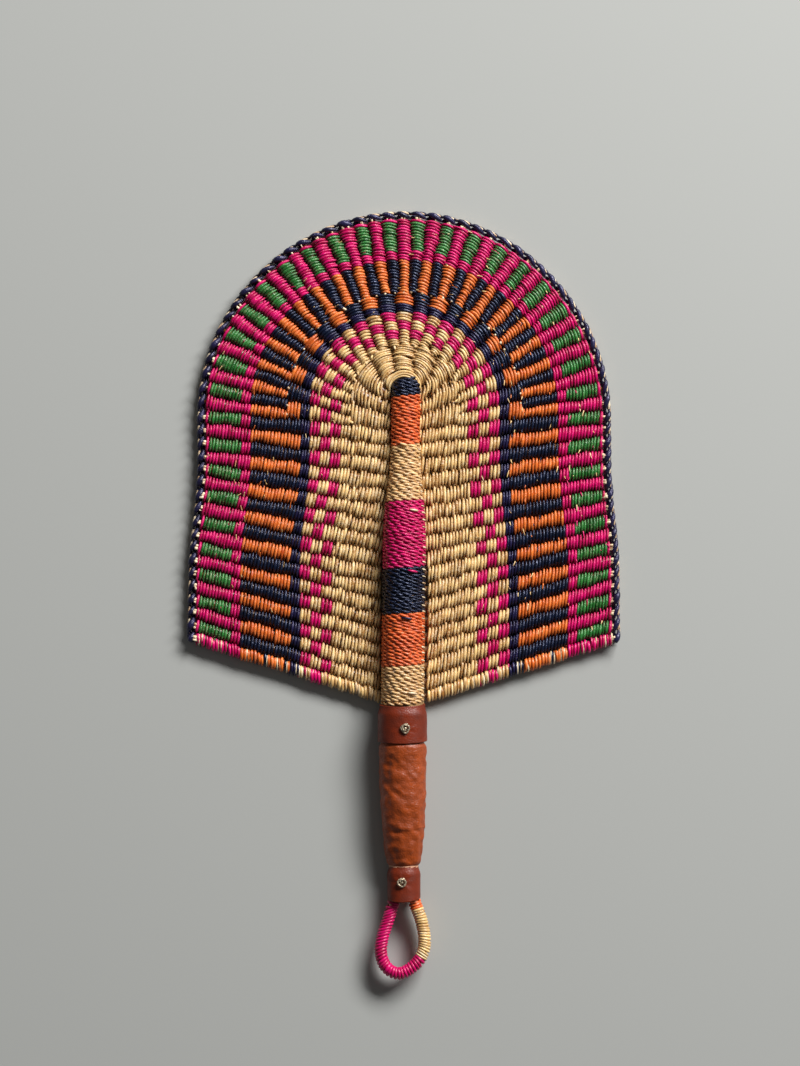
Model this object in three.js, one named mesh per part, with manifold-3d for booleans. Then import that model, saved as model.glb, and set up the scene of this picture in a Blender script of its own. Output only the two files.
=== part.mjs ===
// A hand-woven straw fan lying on its back: +Y runs from the hanging loop up to the crown of the
// blade, +X across the blade and +Z out of its front. All sizes are in millimetres.
import * as THREE from "three";
import { mergeVertices } from "three/addons/utils/BufferGeometryUtils.js";
import Module from "manifold-3d";

const wasm = await Module();
wasm.setup();

// Room left between pieces that touch in the real fan.
const GAP = 0.3;

// Blade: widths of the woven bands from the stick outwards, measured beside the dome.
const FIELD_WIDTH = 28.9;
const CHECK_WIDTH = 18.3;
const PURPLE_WIDTH = 5.2;
const ORANGE_NAVY_WIDTH = 29.0;
const PINK_GREEN_WIDTH = 25.5;
const EDGE_TWINE_WIDTH = 2.9;
const EDGE_ROLL_WIDTH = 1.9;

// Blade: heights above the top edge of the upper collar, where the handle begins.
const DOME_CENTRE = 166.0;
const CENTRE_RISE = 20.9;
const BLADE_FOOT = 1.7;
const FOOT_SLOPE = 0.313;

// Blade: the rows that the stakes make, and the bound row along each lower edge.
const SIDE_ROWS = 17;
const STICK_ROW_PITCH = 8.9;
const EDGE_ROW_PITCH = 7.5;
const FOOT_BINDING = 7.0;
const FOOT_STAKE_SHARE = 0.58;
const INNER_CROWN_STAKES = 13;
const MIDDLE_CROWN_STAKES = 21;
const OUTER_CROWN_STAKES = 41;
const LAST_STAKES_INSET = 8.0;

// Blade: thickness. A strand passes behind each stake and another in front of it.
const SKIN = 1.6;
const STAKE_THICKNESS = 2.2;
const STAKE_WIDTH = 3.4;
const STAKE_NECK = 1.4;
const FOOT_STAKE_WIDTH = 3.0;
const HEART_WIDTH = 3.0;
const CROWN_LOOP_WIDTH = 2.0;
const TWIST_WIDTH = 1.4;
const TWIST_INSET = 0.9;
const TWIST_ROWS = [2, 8, 14];
const STAKE_INSET = 4 * GAP;
const NECK_OVERLAP = 5 * GAP;
const CHANNEL_WALL = 1.1;
const EDGE_ROLL_THICKNESS = 4.2;

// Stick: its outside with the binding on, at the tip and at the foot of the blade.
const TIP_WIDTH = 15.8;
const FOOT_WIDTH = 26.8;
const TIP_THICKNESS = 13.0;
const FOOT_THICKNESS = 20.0;
const SHOULDER_TOP = 145.0;
const SHOULDER_FOOT = 75.0;
const TENON_WIDTH = 6.4;
const TENON_THICKNESS = 9.6;
const STICK_GRIP_WIDTH = 15.0;
const STICK_END_WIDTH = 11.4;
const STICK_SEAT = GAP + 0.05;

// Stick: heights in the round of its tip, as shares of its radius.
const TIP_STATIONS = [0.82, 0.6];
const LAST_TURN_SHARE = 0.72;

// Binding on the stick: one strand per colour, and the length of the stick that each one covers.
const STRAND = 1.4;
const STRAND_SPACE = 0.45;
const CROWN_PITCH = 2.2;
const LOWER_NATURAL_LENGTH = 22.2;
const LOWER_ORANGE_LENGTH = 30.8;
const LOWER_NAVY_LENGTH = 26.2;
const PINK_LENGTH = 37.0;
const UPPER_NATURAL_LENGTH = 33.0;
const UPPER_ORANGE_LENGTH = 27.8;
const BINDINGS = [
  { name: "binding_natural_lower", length: LOWER_NATURAL_LENGTH, finish: "naturalStraw" },
  { name: "binding_orange_lower", length: LOWER_ORANGE_LENGTH, finish: "orangeStraw" },
  { name: "binding_navy_lower", length: LOWER_NAVY_LENGTH, finish: "navyStraw" },
  { name: "binding_pink", length: PINK_LENGTH, finish: "pinkStraw" },
  { name: "binding_natural_upper", length: UPPER_NATURAL_LENGTH, finish: "naturalStraw" },
  { name: "binding_orange_upper", length: UPPER_ORANGE_LENGTH, finish: "orangeStraw" },
  { name: "binding_navy_tip", length: Infinity, finish: "navyStraw" },
];

// Binding: the right half of one turn from back to front, as shares of its half width and its rise.
const TURN_SHAPE = [
  [0.86, 0],
  [1, 0.4],
  [0.8, 0.78],
  [0.36, 1],
];

// Handle: leather collars and grip, outside sizes. Each section lies with its back on the ground.
const UPPER_COLLAR_LENGTH = 21.8;
const UPPER_COLLAR_WIDTH = 28.6;
const GRIP_LENGTH = 71.0;
const GRIP_TOP_WIDTH = 27.4;
const GRIP_MIDDLE_WIDTH = 26.4;
const GRIP_LOW_WIDTH = 22.6;
const GRIP_FOOT_WIDTH = 19.0;
const LOWER_COLLAR_LENGTH = 20.9;
const LOWER_COLLAR_WIDTH = 19.3;
const HANDLE_DEPTH = 0.8;
const LEATHER = 1.2;
const TUCK = 4.5;
const FLAT_DEPTH = 0.4;
const GRIP_MIDDLE_SHARE = 0.5;
const GRIP_LOW_SHARE = 0.84;

// Nails through the collars into the stick, each on a small washer.
const UPPER_NAIL_X = 1.6;
const LOWER_NAIL_X = -1.1;
const UPPER_NAIL_DROP = 12.8;
const LOWER_NAIL_DROP = 9.2;
const NAIL_HEAD = 4.2;
const NAIL_DOME = 1.1;
const NAIL_SHANK = 1.6;
const NAIL_LENGTH = 8.5;
const DOME_SHOULDER_WIDTH = 0.75;
const DOME_SHOULDER_HEIGHT = 0.7;
const WASHER = 6.0;
const WASHER_THICKNESS = 0.7;

// Hanging loop: the middle line of its cord, below the mouth of the lower collar.
const LOOP_ROUTE = [
  [-6.0, 0.0],
  [-8.9, -9.5],
  [-12.0, -19.0],
  [-13.4, -28.0],
  [-11.6, -35.6],
  [-7.2, -40.2],
  [-1.8, -41.2],
  [3.6, -38.6],
  [8.4, -34.0],
  [11.5, -27.5],
  [11.7, -19.0],
  [9.7, -9.6],
  [6.0, 0.0],
];
const LOOP_CORD = 3.9;
const LOOP_WIDTH = 7.6;
const LOOP_STRAND = 1.2;
const LOOP_FREE_ENDS = 2.4;
const LOOP_TAIL = 13.0;
const CORD_END_STATIONS = [0.9, 0.55];
const LOOP_WINDINGS = [
  { name: "loop_pink_winding", share: 0.64, turns: 20, finish: "pinkStraw" },
  { name: "loop_natural_winding", share: 0.29, turns: 11, finish: "naturalStraw" },
  { name: "loop_orange_whipping", share: 0.07, turns: 2, finish: "orangeStraw" },
];

// Fineness of curved pieces.
const ARC_STEPS = 20;
const SHOULDER_STEPS = 4;
const SLEEVE_SIDES = 16;
const STICK_SIDES = 8;
const CORD_SIDES = 8;
const LOOP_STEPS = 26;
const LOOP_TURN_STEPS = 8;
const NAIL_SIDES = 12;

const FINISHES = {
  naturalStraw: { color: 0xd6b070, roughness: 0.62, metalness: 0 },
  pinkStraw: { color: 0xc81469, roughness: 0.6, metalness: 0 },
  greenStraw: { color: 0x3f8246, roughness: 0.62, metalness: 0 },
  orangeStraw: { color: 0xdc6f30, roughness: 0.6, metalness: 0 },
  navyStraw: { color: 0x1c2536, roughness: 0.62, metalness: 0 },
  purpleStraw: { color: 0x2d2652, roughness: 0.62, metalness: 0 },
  wood: { color: 0xa9855a, roughness: 0.7, metalness: 0 },
  packing: { color: 0xbe9a5f, roughness: 0.85, metalness: 0 },
  darkLeather: { color: 0x7d3a29, roughness: 0.5, metalness: 0 },
  gripLeather: { color: 0xa5562e, roughness: 0.55, metalness: 0 },
  cord: { color: 0xb8935c, roughness: 0.85, metalness: 0 },
  steel: { color: 0x9a9186, roughness: 0.45, metalness: 1 },
};

// Radii of the bands, each the sum of the widths inside it.
const STICK_RADIUS = TIP_WIDTH / 2;
const FIELD_RADIUS = STICK_RADIUS + FIELD_WIDTH;
const CHECK_RADIUS = FIELD_RADIUS + CHECK_WIDTH;
const PURPLE_RADIUS = CHECK_RADIUS + PURPLE_WIDTH;
const ORANGE_NAVY_RADIUS = PURPLE_RADIUS + ORANGE_NAVY_WIDTH;
const PINK_GREEN_RADIUS = ORANGE_NAVY_RADIUS + PINK_GREEN_WIDTH;
const TWINE_RADIUS = PINK_GREEN_RADIUS + EDGE_TWINE_WIDTH;
const EDGE_RADIUS = TWINE_RADIUS + EDGE_ROLL_WIDTH;
const STAKE_END = PINK_GREEN_RADIUS + GAP;

// Layers of the blade from its back, which lies on the ground, to its front.
const STAKE_LOW = SKIN + GAP;
const STAKE_HIGH = STAKE_LOW + STAKE_THICKNESS;
const FRONT_LOW = STAKE_HIGH + GAP;
const BLADE_THICKNESS = FRONT_LOW + SKIN;
const STICK_BACK = STAKE_HIGH + GAP;

// What links the front and back strands reaches halfway into both.
const LINK_LOW = SKIN / 2;
const LINK_HIGH = FRONT_LOW + SKIN / 2;

// Heights along the handle, downwards from the upper collar's top edge.
const GRIP_TOP = -UPPER_COLLAR_LENGTH;
const GRIP_FOOT = GRIP_TOP - GRIP_LENGTH;
const MOUTH = GRIP_FOOT - LOWER_COLLAR_LENGTH;
const LOOP_HEIGHT = ((LOWER_COLLAR_WIDTH - 2 * FLAT_DEPTH) * HANDLE_DEPTH) / 2;
const LOOP_FOOT = MOUTH + Math.min(...LOOP_ROUTE.map((point) => point[1])) - LOOP_WIDTH / 2;

const lerp = THREE.MathUtils.lerp;
const point2 = (x, y) => new THREE.Vector2(x, y);

// How much wider the stick is at a height than at its tip. All the rows beside it shift out with it.
function widening(y) {
  const share = THREE.MathUtils.smoothstep(SHOULDER_TOP - y, 0, SHOULDER_TOP - SHOULDER_FOOT);
  return (share * (FOOT_WIDTH - TIP_WIDTH)) / 2;
}

function arcCentre(radius) {
  return DOME_CENTRE + CENTRE_RISE * (1 - Math.sqrt(radius / EDGE_RADIUS));
}

function footHeight(radius) {
  return BLADE_FOOT + FOOT_SLOPE * (radius - STICK_RADIUS);
}

function rowLength(radius) {
  return 2 * (arcCentre(radius) - footHeight(radius)) + Math.PI * radius;
}

// A point of the blade, by its band radius and its distance along the band from the left foot.
function bladePoint(radius, along) {
  const length = rowLength(radius);
  if (along > length / 2) {
    const twin = bladePoint(radius, length - along);
    return point2(-twin.x, twin.y);
  }
  const side = arcCentre(radius) - footHeight(radius);
  if (along <= side) {
    const y = footHeight(radius) + along;
    return point2(-radius - widening(y), y);
  }
  const angle = Math.PI - (along - side) / radius;
  return point2(radius * Math.cos(angle), arcCentre(radius) + radius * Math.sin(angle));
}

// Distances along a band of the side rows' edges and of their stakes. Stake 0 is in the lower edge.
function rowPitch(radius) {
  const share = (radius - STICK_RADIUS) / (EDGE_RADIUS - STICK_RADIUS);
  return lerp(STICK_ROW_PITCH, EDGE_ROW_PITCH, share);
}

function rowEdge(row, radius) {
  return FOOT_BINDING + row * rowPitch(radius);
}

function stakeAlong(stake, radius) {
  return stake === 0 ? FOOT_STAKE_SHARE * FOOT_BINDING : rowEdge(stake - 0.5, radius);
}

// A point between the last side rows, by its share of the way over the crown.
function crownPoint(radius, share) {
  const start = rowEdge(SIDE_ROWS, radius);
  return bladePoint(radius, lerp(start, rowLength(radius) - start, share));
}

// The curve of a band edge from its left foot over the crown to its right foot.
function horseshoe(radius, start) {
  const foot = footHeight(radius);
  const side = arcCentre(radius) - foot;
  const shoulder = Array.from({ length: SHOULDER_STEPS + 1 }, (_, step) =>
    lerp(SHOULDER_FOOT, SHOULDER_TOP, step / SHOULDER_STEPS) - foot,
  );
  const arc = Array.from({ length: ARC_STEPS + 1 }, (_, step) =>
    side + (Math.PI * radius * step) / ARC_STEPS,
  );
  const rise = [start, ...shoulder.filter((along) => along > start && along < side)];
  const fall = rise.map((along) => rowLength(radius) - along).reverse();
  return [...rise, ...arc, ...fall].map((along) => bladePoint(radius, along));
}

function bandOutline(inner, outer, start) {
  return [...horseshoe(outer, start), ...horseshoe(inner, start).reverse()];
}

// Solids for joining and cutting.
function toSolid(geometry) {
  const bare = new THREE.BufferGeometry();
  bare.setAttribute("position", geometry.getAttribute("position"));
  bare.setIndex(geometry.index);
  const merged = mergeVertices(bare, 1e-4);
  const vertProperties = merged.getAttribute("position").array;
  const triVerts = new Uint32Array(merged.index.array);
  return new wasm.Manifold(new wasm.Mesh({ numProp: 3, vertProperties, triVerts }));
}

function toGeometry(solid) {
  const mesh = solid.getMesh();
  const geometry = new THREE.BufferGeometry();
  geometry.setAttribute("position", new THREE.BufferAttribute(mesh.vertProperties, 3));
  geometry.setIndex(new THREE.BufferAttribute(mesh.triVerts, 1));
  geometry.computeVertexNormals();
  return geometry;
}

function join(solids) {
  return solids.reduce((joined, solid) => joined.add(solid));
}

// A plate with the given outline, from one height to another.
function slab(outline, low, high) {
  const options = { depth: high - low, bevelEnabled: false };
  return toSolid(new THREE.ExtrudeGeometry(new THREE.Shape(outline), options).translate(0, 0, low));
}

// A flat bar that follows a path in the blade's plane.
function bar(path, width, low, high) {
  const sides = path.map((point, index) => {
    const before = path[Math.max(index - 1, 0)];
    const after = path[Math.min(index + 1, path.length - 1)];
    const along = after.clone().sub(before).normalize();
    return point2(-along.y, along.x).multiplyScalar(width / 2);
  });
  const left = path.map((point, index) => point.clone().add(sides[index]));
  const right = path.map((point, index) => point.clone().sub(sides[index]));
  return slab([...left, ...right.reverse()], low, high);
}

const mirrored = (path) => path.map((point) => point2(-point.x, point.y));

// One colour band: a layer of strands behind the stakes and one in front, twisted together between.
function wovenBand(inner, outer) {
  const outline = bandOutline(inner + GAP / 2, outer - GAP / 2, FOOT_BINDING + GAP / 2);
  const layers = [slab(outline, 0, SKIN), slab(outline, FRONT_LOW, BLADE_THICKNESS)];
  const twists = TWIST_ROWS.flatMap((row) => {
    const radii = [inner + TWIST_INSET, outer - TWIST_INSET];
    const path = radii.map((radius) => bladePoint(radius, rowEdge(row, radius)));
    return [path, mirrored(path)].map((way) => bar(way, TWIST_WIDTH, LINK_LOW, LINK_HIGH));
  });
  return join([...layers, ...twists]);
}

const stakeBar = (path, width) => bar(path, width, STAKE_LOW, STAKE_HIGH);

// Stakes that lie across under the stick, narrow where the binding passes them on both sides.
function sideStakes() {
  const start = STICK_RADIUS + STAKE_INSET;
  return Array.from({ length: SIDE_ROWS + 1 }, (_, stake) => {
    const root = bladePoint(STICK_RADIUS, stakeAlong(stake, STICK_RADIUS));
    const reach = root.x - NECK_OVERLAP;
    const neck = [point2(reach, root.y), point2(-reach, root.y)];
    const radii = [start, (start + STAKE_END) / 2, STAKE_END];
    const path = radii.map((radius) => bladePoint(radius, stakeAlong(stake, radius)));
    const width = stake === 0 ? FOOT_STAKE_WIDTH : STAKE_WIDTH;
    return [stakeBar(neck, STAKE_NECK), stakeBar(path, width), stakeBar(mirrored(path), width)];
  }).flat();
}

// Stakes that fan out over the crown. Where more stakes join them, a cord ties old and new ones.
function crownStakes() {
  const loopRadius = STICK_RADIUS + CROWN_LOOP_WIDTH;
  const levels = [
    { count: INNER_CROWN_STAKES, from: loopRadius, to: FIELD_RADIUS },
    { count: MIDDLE_CROWN_STAKES, from: FIELD_RADIUS, to: PURPLE_RADIUS + LAST_STAKES_INSET },
    { count: OUTER_CROWN_STAKES, from: PURPLE_RADIUS + LAST_STAKES_INSET, to: STAKE_END },
  ];
  const bars = levels.flatMap(({ count, from, to }) => {
    const shares = Array.from({ length: count }, (_, index) => (index + 0.5) / count);
    const stakes = shares.map((share) =>
      stakeBar([crownPoint(from, share), crownPoint(to, share)], STAKE_WIDTH),
    );
    const tie = stakeBar(shares.map((share) => crownPoint(from, share)), CROWN_LOOP_WIDTH);
    return [tie, ...stakes];
  });
  const root = bladePoint(loopRadius, stakeAlong(SIDE_ROWS, loopRadius));
  const leg = [root, crownPoint(loopRadius, 0.5 / INNER_CROWN_STAKES)];
  const legs = [leg, mirrored(leg)].map((path) => stakeBar(path, CROWN_LOOP_WIDTH));
  return [...bars, ...legs];
}

function stakeFrame() {
  const stakes = [0, SIDE_ROWS].map((stake) => stakeAlong(stake, STICK_RADIUS));
  const heart = stakes.map((along) => point2(0, bladePoint(STICK_RADIUS, along).y));
  return join([stakeBar(heart, HEART_WIDTH), ...sideStakes(), ...crownStakes()]);
}

// A channel round the stake ends: a layer behind, a layer in front and a wall that joins them.
function channel(outline, wall) {
  const layers = [slab(outline, 0, SKIN), slab(outline, FRONT_LOW, BLADE_THICKNESS)];
  return join([...layers, slab(wall, LINK_LOW, LINK_HIGH)]);
}

function edgeTwine() {
  const outline = bandOutline(PINK_GREEN_RADIUS + GAP / 2, TWINE_RADIUS, 0);
  const wallRadius = TWINE_RADIUS - GAP;
  return channel(outline, bandOutline(wallRadius - CHANNEL_WALL, wallRadius, GAP));
}

function footBinding(side) {
  const inner = STICK_RADIUS + GAP;
  const outer = PINK_GREEN_RADIUS - GAP / 2;
  const strip = (margin, low, high) =>
    [
      bladePoint(inner + margin, low),
      bladePoint(outer - margin, low),
      bladePoint(outer - margin, high),
      bladePoint(inner + margin, high),
    ].map((point) => point2(-side * point.x, point.y));
  return channel(strip(0, 0, FOOT_BINDING - GAP / 2), strip(GAP, GAP, CHANNEL_WALL));
}

// Shrinks the stick and its binding into the round of the tip.
const TIP_CENTRE = arcCentre(STICK_RADIUS);

function tipShare(y) {
  const over = Math.max(0, y - TIP_CENTRE) / STICK_RADIUS;
  return Math.sqrt(1 - over * over);
}

// The eight corners of one turn of the binding, flat across the back and arched over the front.
function turnCorners(y) {
  const half = (STICK_RADIUS + widening(y)) * tipShare(y) - STRAND / 2;
  const low = GAP + STRAND / 2;
  const share = widening(y) / widening(0);
  const thickness = lerp(TIP_THICKNESS, FOOT_THICKNESS, share);
  const rise = lerp(STICK_BACK, thickness, tipShare(y)) - STRAND / 2 - low;
  const right = TURN_SHAPE.map(([across, up]) => point2(across * half, low + up * rise));
  return [...right, ...mirrored(right).reverse()];
}

// The corners of a ring moved inwards by a distance.
function insetRing(ring, distance) {
  return ring.map((corner, index) => {
    const before = ring[(index + ring.length - 1) % ring.length];
    const after = ring[(index + 1) % ring.length];
    const into = corner.clone().sub(before).normalize();
    const out = after.clone().sub(corner).normalize();
    const inward = point2(-into.y - out.y, into.x + out.x).normalize();
    const reach = distance / inward.dot(point2(-into.y, into.x));
    return corner.clone().addScaledVector(inward, reach);
  });
}

// A closed body through rings of equal corner counts. A round trip of rings makes a sleeve.
function ringBody(rings, isRoundTrip) {
  const corners = rings[0].length;
  const positions = rings.flat().flatMap((corner) => corner.toArray());
  const index = [];
  const spans = isRoundTrip ? rings.length : rings.length - 1;
  for (let ring = 0; ring < spans; ring += 1) {
    const next = (ring + 1) % rings.length;
    for (let side = 0; side < corners; side += 1) {
      const other = (side + 1) % corners;
      const [a, b] = [ring * corners + side, ring * corners + other];
      const [c, d] = [next * corners + side, next * corners + other];
      index.push(a, b, c, b, d, c);
    }
  }
  if (!isRoundTrip) {
    const last = (rings.length - 1) * corners;
    for (let side = 1; side < corners - 1; side += 1) {
      index.push(0, side + 1, side);
      index.push(last, last + side, last + side + 1);
    }
  }
  const geometry = new THREE.BufferGeometry();
  geometry.setAttribute("position", new THREE.Float32BufferAttribute(positions, 3));
  geometry.setIndex(isFacingOut(positions, index) ? index : index.reverse());
  geometry.computeVertexNormals();
  return geometry;
}

function isFacingOut(positions, index) {
  const corner = (at) => new THREE.Vector3().fromArray(positions, 3 * index[at]);
  let volume = 0;
  for (let at = 0; at < index.length; at += 3) {
    volume += corner(at).dot(corner(at + 1).cross(corner(at + 2)));
  }
  return volume > 0;
}

const ringAt = (y, corners) => corners.map(({ x, y: z }) => new THREE.Vector3(x, y, z));

// An oval section that stands on a height, flattened where it would reach below the given floor.
function oval(width, centre, sides, floor) {
  return Array.from({ length: sides }, (_, side) => {
    const angle = ((side + 0.5) / sides) * 2 * Math.PI - Math.PI / 2;
    const height = centre + ((width * HANDLE_DEPTH) / 2) * Math.sin(angle);
    return point2((width / 2) * Math.cos(angle), Math.max(height, floor));
  });
}

const handleCentre = (width) => (width * HANDLE_DEPTH) / 2;

// Widths of the grip's outside from its tucked top end to its tucked lower end.
const UPPER_TUCK_WIDTH = UPPER_COLLAR_WIDTH - 2 * (LEATHER + GAP + FLAT_DEPTH);
const LOWER_TUCK_WIDTH = LOWER_COLLAR_WIDTH - 2 * (LEATHER + GAP + FLAT_DEPTH);
const GRIP_STATIONS = [
  { y: GRIP_TOP + UPPER_COLLAR_LENGTH - TUCK, width: UPPER_TUCK_WIDTH },
  { y: GRIP_TOP + GAP, width: UPPER_TUCK_WIDTH },
  { y: GRIP_TOP - TUCK / 3, width: GRIP_TOP_WIDTH },
  { y: GRIP_TOP - GRIP_MIDDLE_SHARE * GRIP_LENGTH, width: GRIP_MIDDLE_WIDTH },
  { y: GRIP_TOP - GRIP_LOW_SHARE * GRIP_LENGTH, width: GRIP_LOW_WIDTH },
  { y: GRIP_FOOT + TUCK / 3, width: GRIP_FOOT_WIDTH },
  { y: GRIP_FOOT - GAP, width: LOWER_TUCK_WIDTH },
  { y: GRIP_FOOT - TUCK, width: LOWER_TUCK_WIDTH },
];

// A section between the collars lies as high as the collar or the grip around it.
function handleOutside(y, width) {
  const drop = THREE.MathUtils.clamp((GRIP_TOP - y) / GRIP_LENGTH, 0, 1);
  return Math.max(width, lerp(UPPER_COLLAR_WIDTH, LOWER_COLLAR_WIDTH, drop)) - 2 * FLAT_DEPTH;
}

// The stick tapers inside the grip.
function grippedStickWidth(y) {
  const share = THREE.MathUtils.clamp((y + TUCK) / (GRIP_FOOT + TUCK), 0, 1);
  return lerp(STICK_GRIP_WIDTH, STICK_END_WIDTH, share);
}

// The stick: flat-backed under the binding, eight-sided in the grip, with a tenon in the lower collar.
function stick() {
  const inset = STRAND / 2 + STICK_SEAT;
  const boundHeights = [
    ...TIP_STATIONS.map((share) => TIP_CENTRE + share * STICK_RADIUS),
    TIP_CENTRE,
    ...Array.from({ length: SHOULDER_STEPS + 1 }, (_, step) =>
      lerp(SHOULDER_TOP, SHOULDER_FOOT, step / SHOULDER_STEPS),
    ),
    -GAP,
  ];
  const bound = boundHeights.map((y) => {
    const corners = insetRing(turnCorners(y), inset);
    return ringAt(y, corners.map((corner) => point2(corner.x, Math.max(corner.y, STICK_BACK))));
  });
  const gripped = GRIP_STATIONS.slice(0, -1).map(({ y, width }) => {
    const centre = handleCentre(handleOutside(y, width));
    const corners = oval(grippedStickWidth(y), centre, STICK_SIDES, 0);
    return ringAt(y, [...corners.slice(1), corners[0]]);
  });
  const tenon = [GRIP_FOOT - TUCK - GAP, MOUTH + TUCK / 2].map((y) => {
    const corners = oval(TENON_WIDTH, LOOP_HEIGHT, STICK_SIDES, 0).map((corner) => {
      const rise = (corner.y - LOOP_HEIGHT) * (TENON_THICKNESS / TENON_WIDTH / HANDLE_DEPTH);
      return point2(corner.x, LOOP_HEIGHT + rise);
    });
    return ringAt(y, [...corners.slice(1), corners[0]]);
  });
  return toSolid(ringBody([...bound, ...gripped, ...tenon], false));
}

// Heights of the binding's turns: close together beside the stick, where they pass between two
// stakes, and evenly spread over its front.
function bindingTurns() {
  const stakes = Array.from({ length: SIDE_ROWS + 1 }, (_, stake) =>
    bladePoint(STICK_RADIUS, stakeAlong(stake, STICK_RADIUS)).y,
  );
  const turns = [];
  stakes.forEach((stake, index) => {
    const below = index === 0 ? 0 : stakes[index - 1];
    const belowEdge = index === 0 ? 0 : below + STAKE_NECK / 2;
    const free = stake - STAKE_NECK / 2 - belowEdge - 2 * GAP - STRAND;
    const count = 1 + Math.floor(free / (STRAND + STRAND_SPACE));
    const evenPitch = (stake - below) / count;
    const sidePitch = count > 1 ? Math.min(evenPitch, free / (count - 1)) : 0;
    const middle = (belowEdge + stake - STAKE_NECK / 2) / 2;
    for (let turn = 0; turn < count; turn += 1) {
      const front = below + (turn + 0.5) * evenPitch;
      turns.push({ beside: middle + (turn - (count - 1) / 2) * sidePitch, front });
    }
  });
  const last = TIP_CENTRE + LAST_TURN_SHARE * STICK_RADIUS;
  const first = stakes[SIDE_ROWS] + STAKE_NECK / 2 + GAP + STRAND / 2;
  for (let y = first; y < last; y += CROWN_PITCH) {
    turns.push({ beside: y, front: y });
  }
  return turns;
}

// The middle line of the binding. Each turn climbs to the next as it crosses the front to the right.
function bindingLine(turns) {
  const climb = [0, 0.2, 0.4, 0.6, 0.8, 1, 1, 1];
  const spread = [0, 0.7, 1, 1, 0.7, 0, 0, 0];
  const order = [6, 5, 4, 3, 2, 1, 0, 7];
  const line = [];
  turns.slice(0, -1).forEach((turn, index) => {
    const next = turns[index + 1];
    order.forEach((corner, step) => {
      const beside = lerp(turn.beside, next.beside, climb[step]);
      const front = lerp(turn.front, next.front, climb[step]);
      const y = lerp(beside, front, spread[step]);
      const corners = turnCorners(y);
      const { x, y: z } = corners[corner];
      const outward = point2(x, z - (corners[0].y + corners[3].y) / 2).normalize();
      line.push({
        point: new THREE.Vector3(x, y, z),
        outward: new THREE.Vector3(outward.x, 0, outward.y),
        sideways: new THREE.Vector3(0, 1, 0),
      });
    });
  });
  return line;
}

// A wound strand with four sides. Both ends run on straight by one strand diameter.
function woundStrand(line, diameter) {
  const runOn = (end, inside) => {
    const away = end.point.clone().sub(inside.point).normalize();
    return { ...end, point: end.point.clone().addScaledVector(away, diameter) };
  };
  const first = runOn(line[0], line[1]);
  const last = runOn(line[line.length - 1], line[line.length - 2]);
  const rings = [first, ...line, last].map(({ point, outward, sideways }) => [
    point.clone().addScaledVector(outward, diameter / 2),
    point.clone().addScaledVector(sideways, diameter / 2),
    point.clone().addScaledVector(outward, -diameter / 2),
    point.clone().addScaledVector(sideways, -diameter / 2),
  ]);
  return ringBody(rings, false);
}

// Least space between neighbouring turns, measured between points half a turn or more apart.
function leastSpace(line, diameter, turnSteps) {
  let least = Infinity;
  line.forEach(({ point }, index) => {
    line.slice(index + turnSteps / 2).forEach((other) => {
      least = Math.min(least, point.distanceTo(other.point) - diameter);
    });
  });
  return least;
}

function reportSpace(name, line, diameter, turnSteps) {
  const space = leastSpace(line, diameter, turnSteps).toFixed(2);
  console.log(`${name}: least space between turns ${space} mm`);
}

// A leather or straw sleeve through stations down the handle, each standing on its own back.
function sleeve(stations, wall, floor) {
  const outer = stations.map(({ y, width, outside }) =>
    ringAt(y, oval(width, handleCentre(outside), SLEEVE_SIDES, floor)),
  );
  const inner = stations.map(({ y, width, hollow, outside }) => {
    const bore = hollow ?? width - 2 * wall;
    return ringAt(y, oval(bore, handleCentre(outside), SLEEVE_SIDES, floor + wall));
  });
  return toSolid(ringBody([...outer, ...inner.reverse()], true));
}

function collar(top, foot, width) {
  const stations = [top, foot].map((y) => ({ y, width, outside: width - 2 * FLAT_DEPTH }));
  return sleeve(stations, LEATHER, 0);
}

function gripLeather() {
  const stations = GRIP_STATIONS.map(({ y, width }) => ({ y, width, outside: handleOutside(y, width) }));
  return sleeve(stations, LEATHER, GAP);
}

function gripPacking() {
  const stations = GRIP_STATIONS.slice(0, -1).map(({ y, width }) => {
    const hollow = grippedStickWidth(y) + 4 * GAP;
    const packed = width - 2 * (LEATHER + GAP);
    return { y, width: packed, hollow, outside: handleOutside(y, width) };
  });
  return sleeve(stations, LEATHER, LEATHER + 2 * GAP);
}

// A nail with a domed head, its axis along Z and its head's underside at the origin.
function nail() {
  const profile = [
    [0, -NAIL_LENGTH],
    [NAIL_SHANK / 2, -NAIL_LENGTH + NAIL_SHANK],
    [NAIL_SHANK / 2, 0],
    [NAIL_HEAD / 2, 0],
    [DOME_SHOULDER_WIDTH * (NAIL_HEAD / 2), DOME_SHOULDER_HEIGHT * NAIL_DOME],
    [0, NAIL_DOME],
  ].map(([x, y]) => point2(x, y));
  return new THREE.LatheGeometry(profile, NAIL_SIDES).rotateX(Math.PI / 2);
}

function washer() {
  const bore = NAIL_SHANK / 2 + GAP;
  const profile = [
    [bore, 0],
    [WASHER / 2, 0],
    [WASHER / 2, WASHER_THICKNESS],
    [bore, WASHER_THICKNESS],
    [bore, 0],
  ].map(([x, y]) => point2(x, y));
  return new THREE.LatheGeometry(profile, NAIL_SIDES).rotateX(Math.PI / 2);
}

// The tunnel that a nail's shank takes through leather, packing and stick.
function nailTunnel(place) {
  const radius = NAIL_SHANK / 2 + GAP;
  const tunnel = new THREE.CylinderGeometry(radius, radius, 2 * (NAIL_LENGTH + GAP), NAIL_SIDES);
  return toSolid(tunnel.rotateX(Math.PI / 2).translate(place.x, place.y, place.z));
}

// Hanging loop: the middle line of its cord, with the directions across it.
const loopCurve = new THREE.CatmullRomCurve3(
  LOOP_ROUTE.map(([x, y]) => new THREE.Vector3(x, MOUTH + y, LOOP_HEIGHT)),
  false,
  "centripetal",
);

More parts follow.
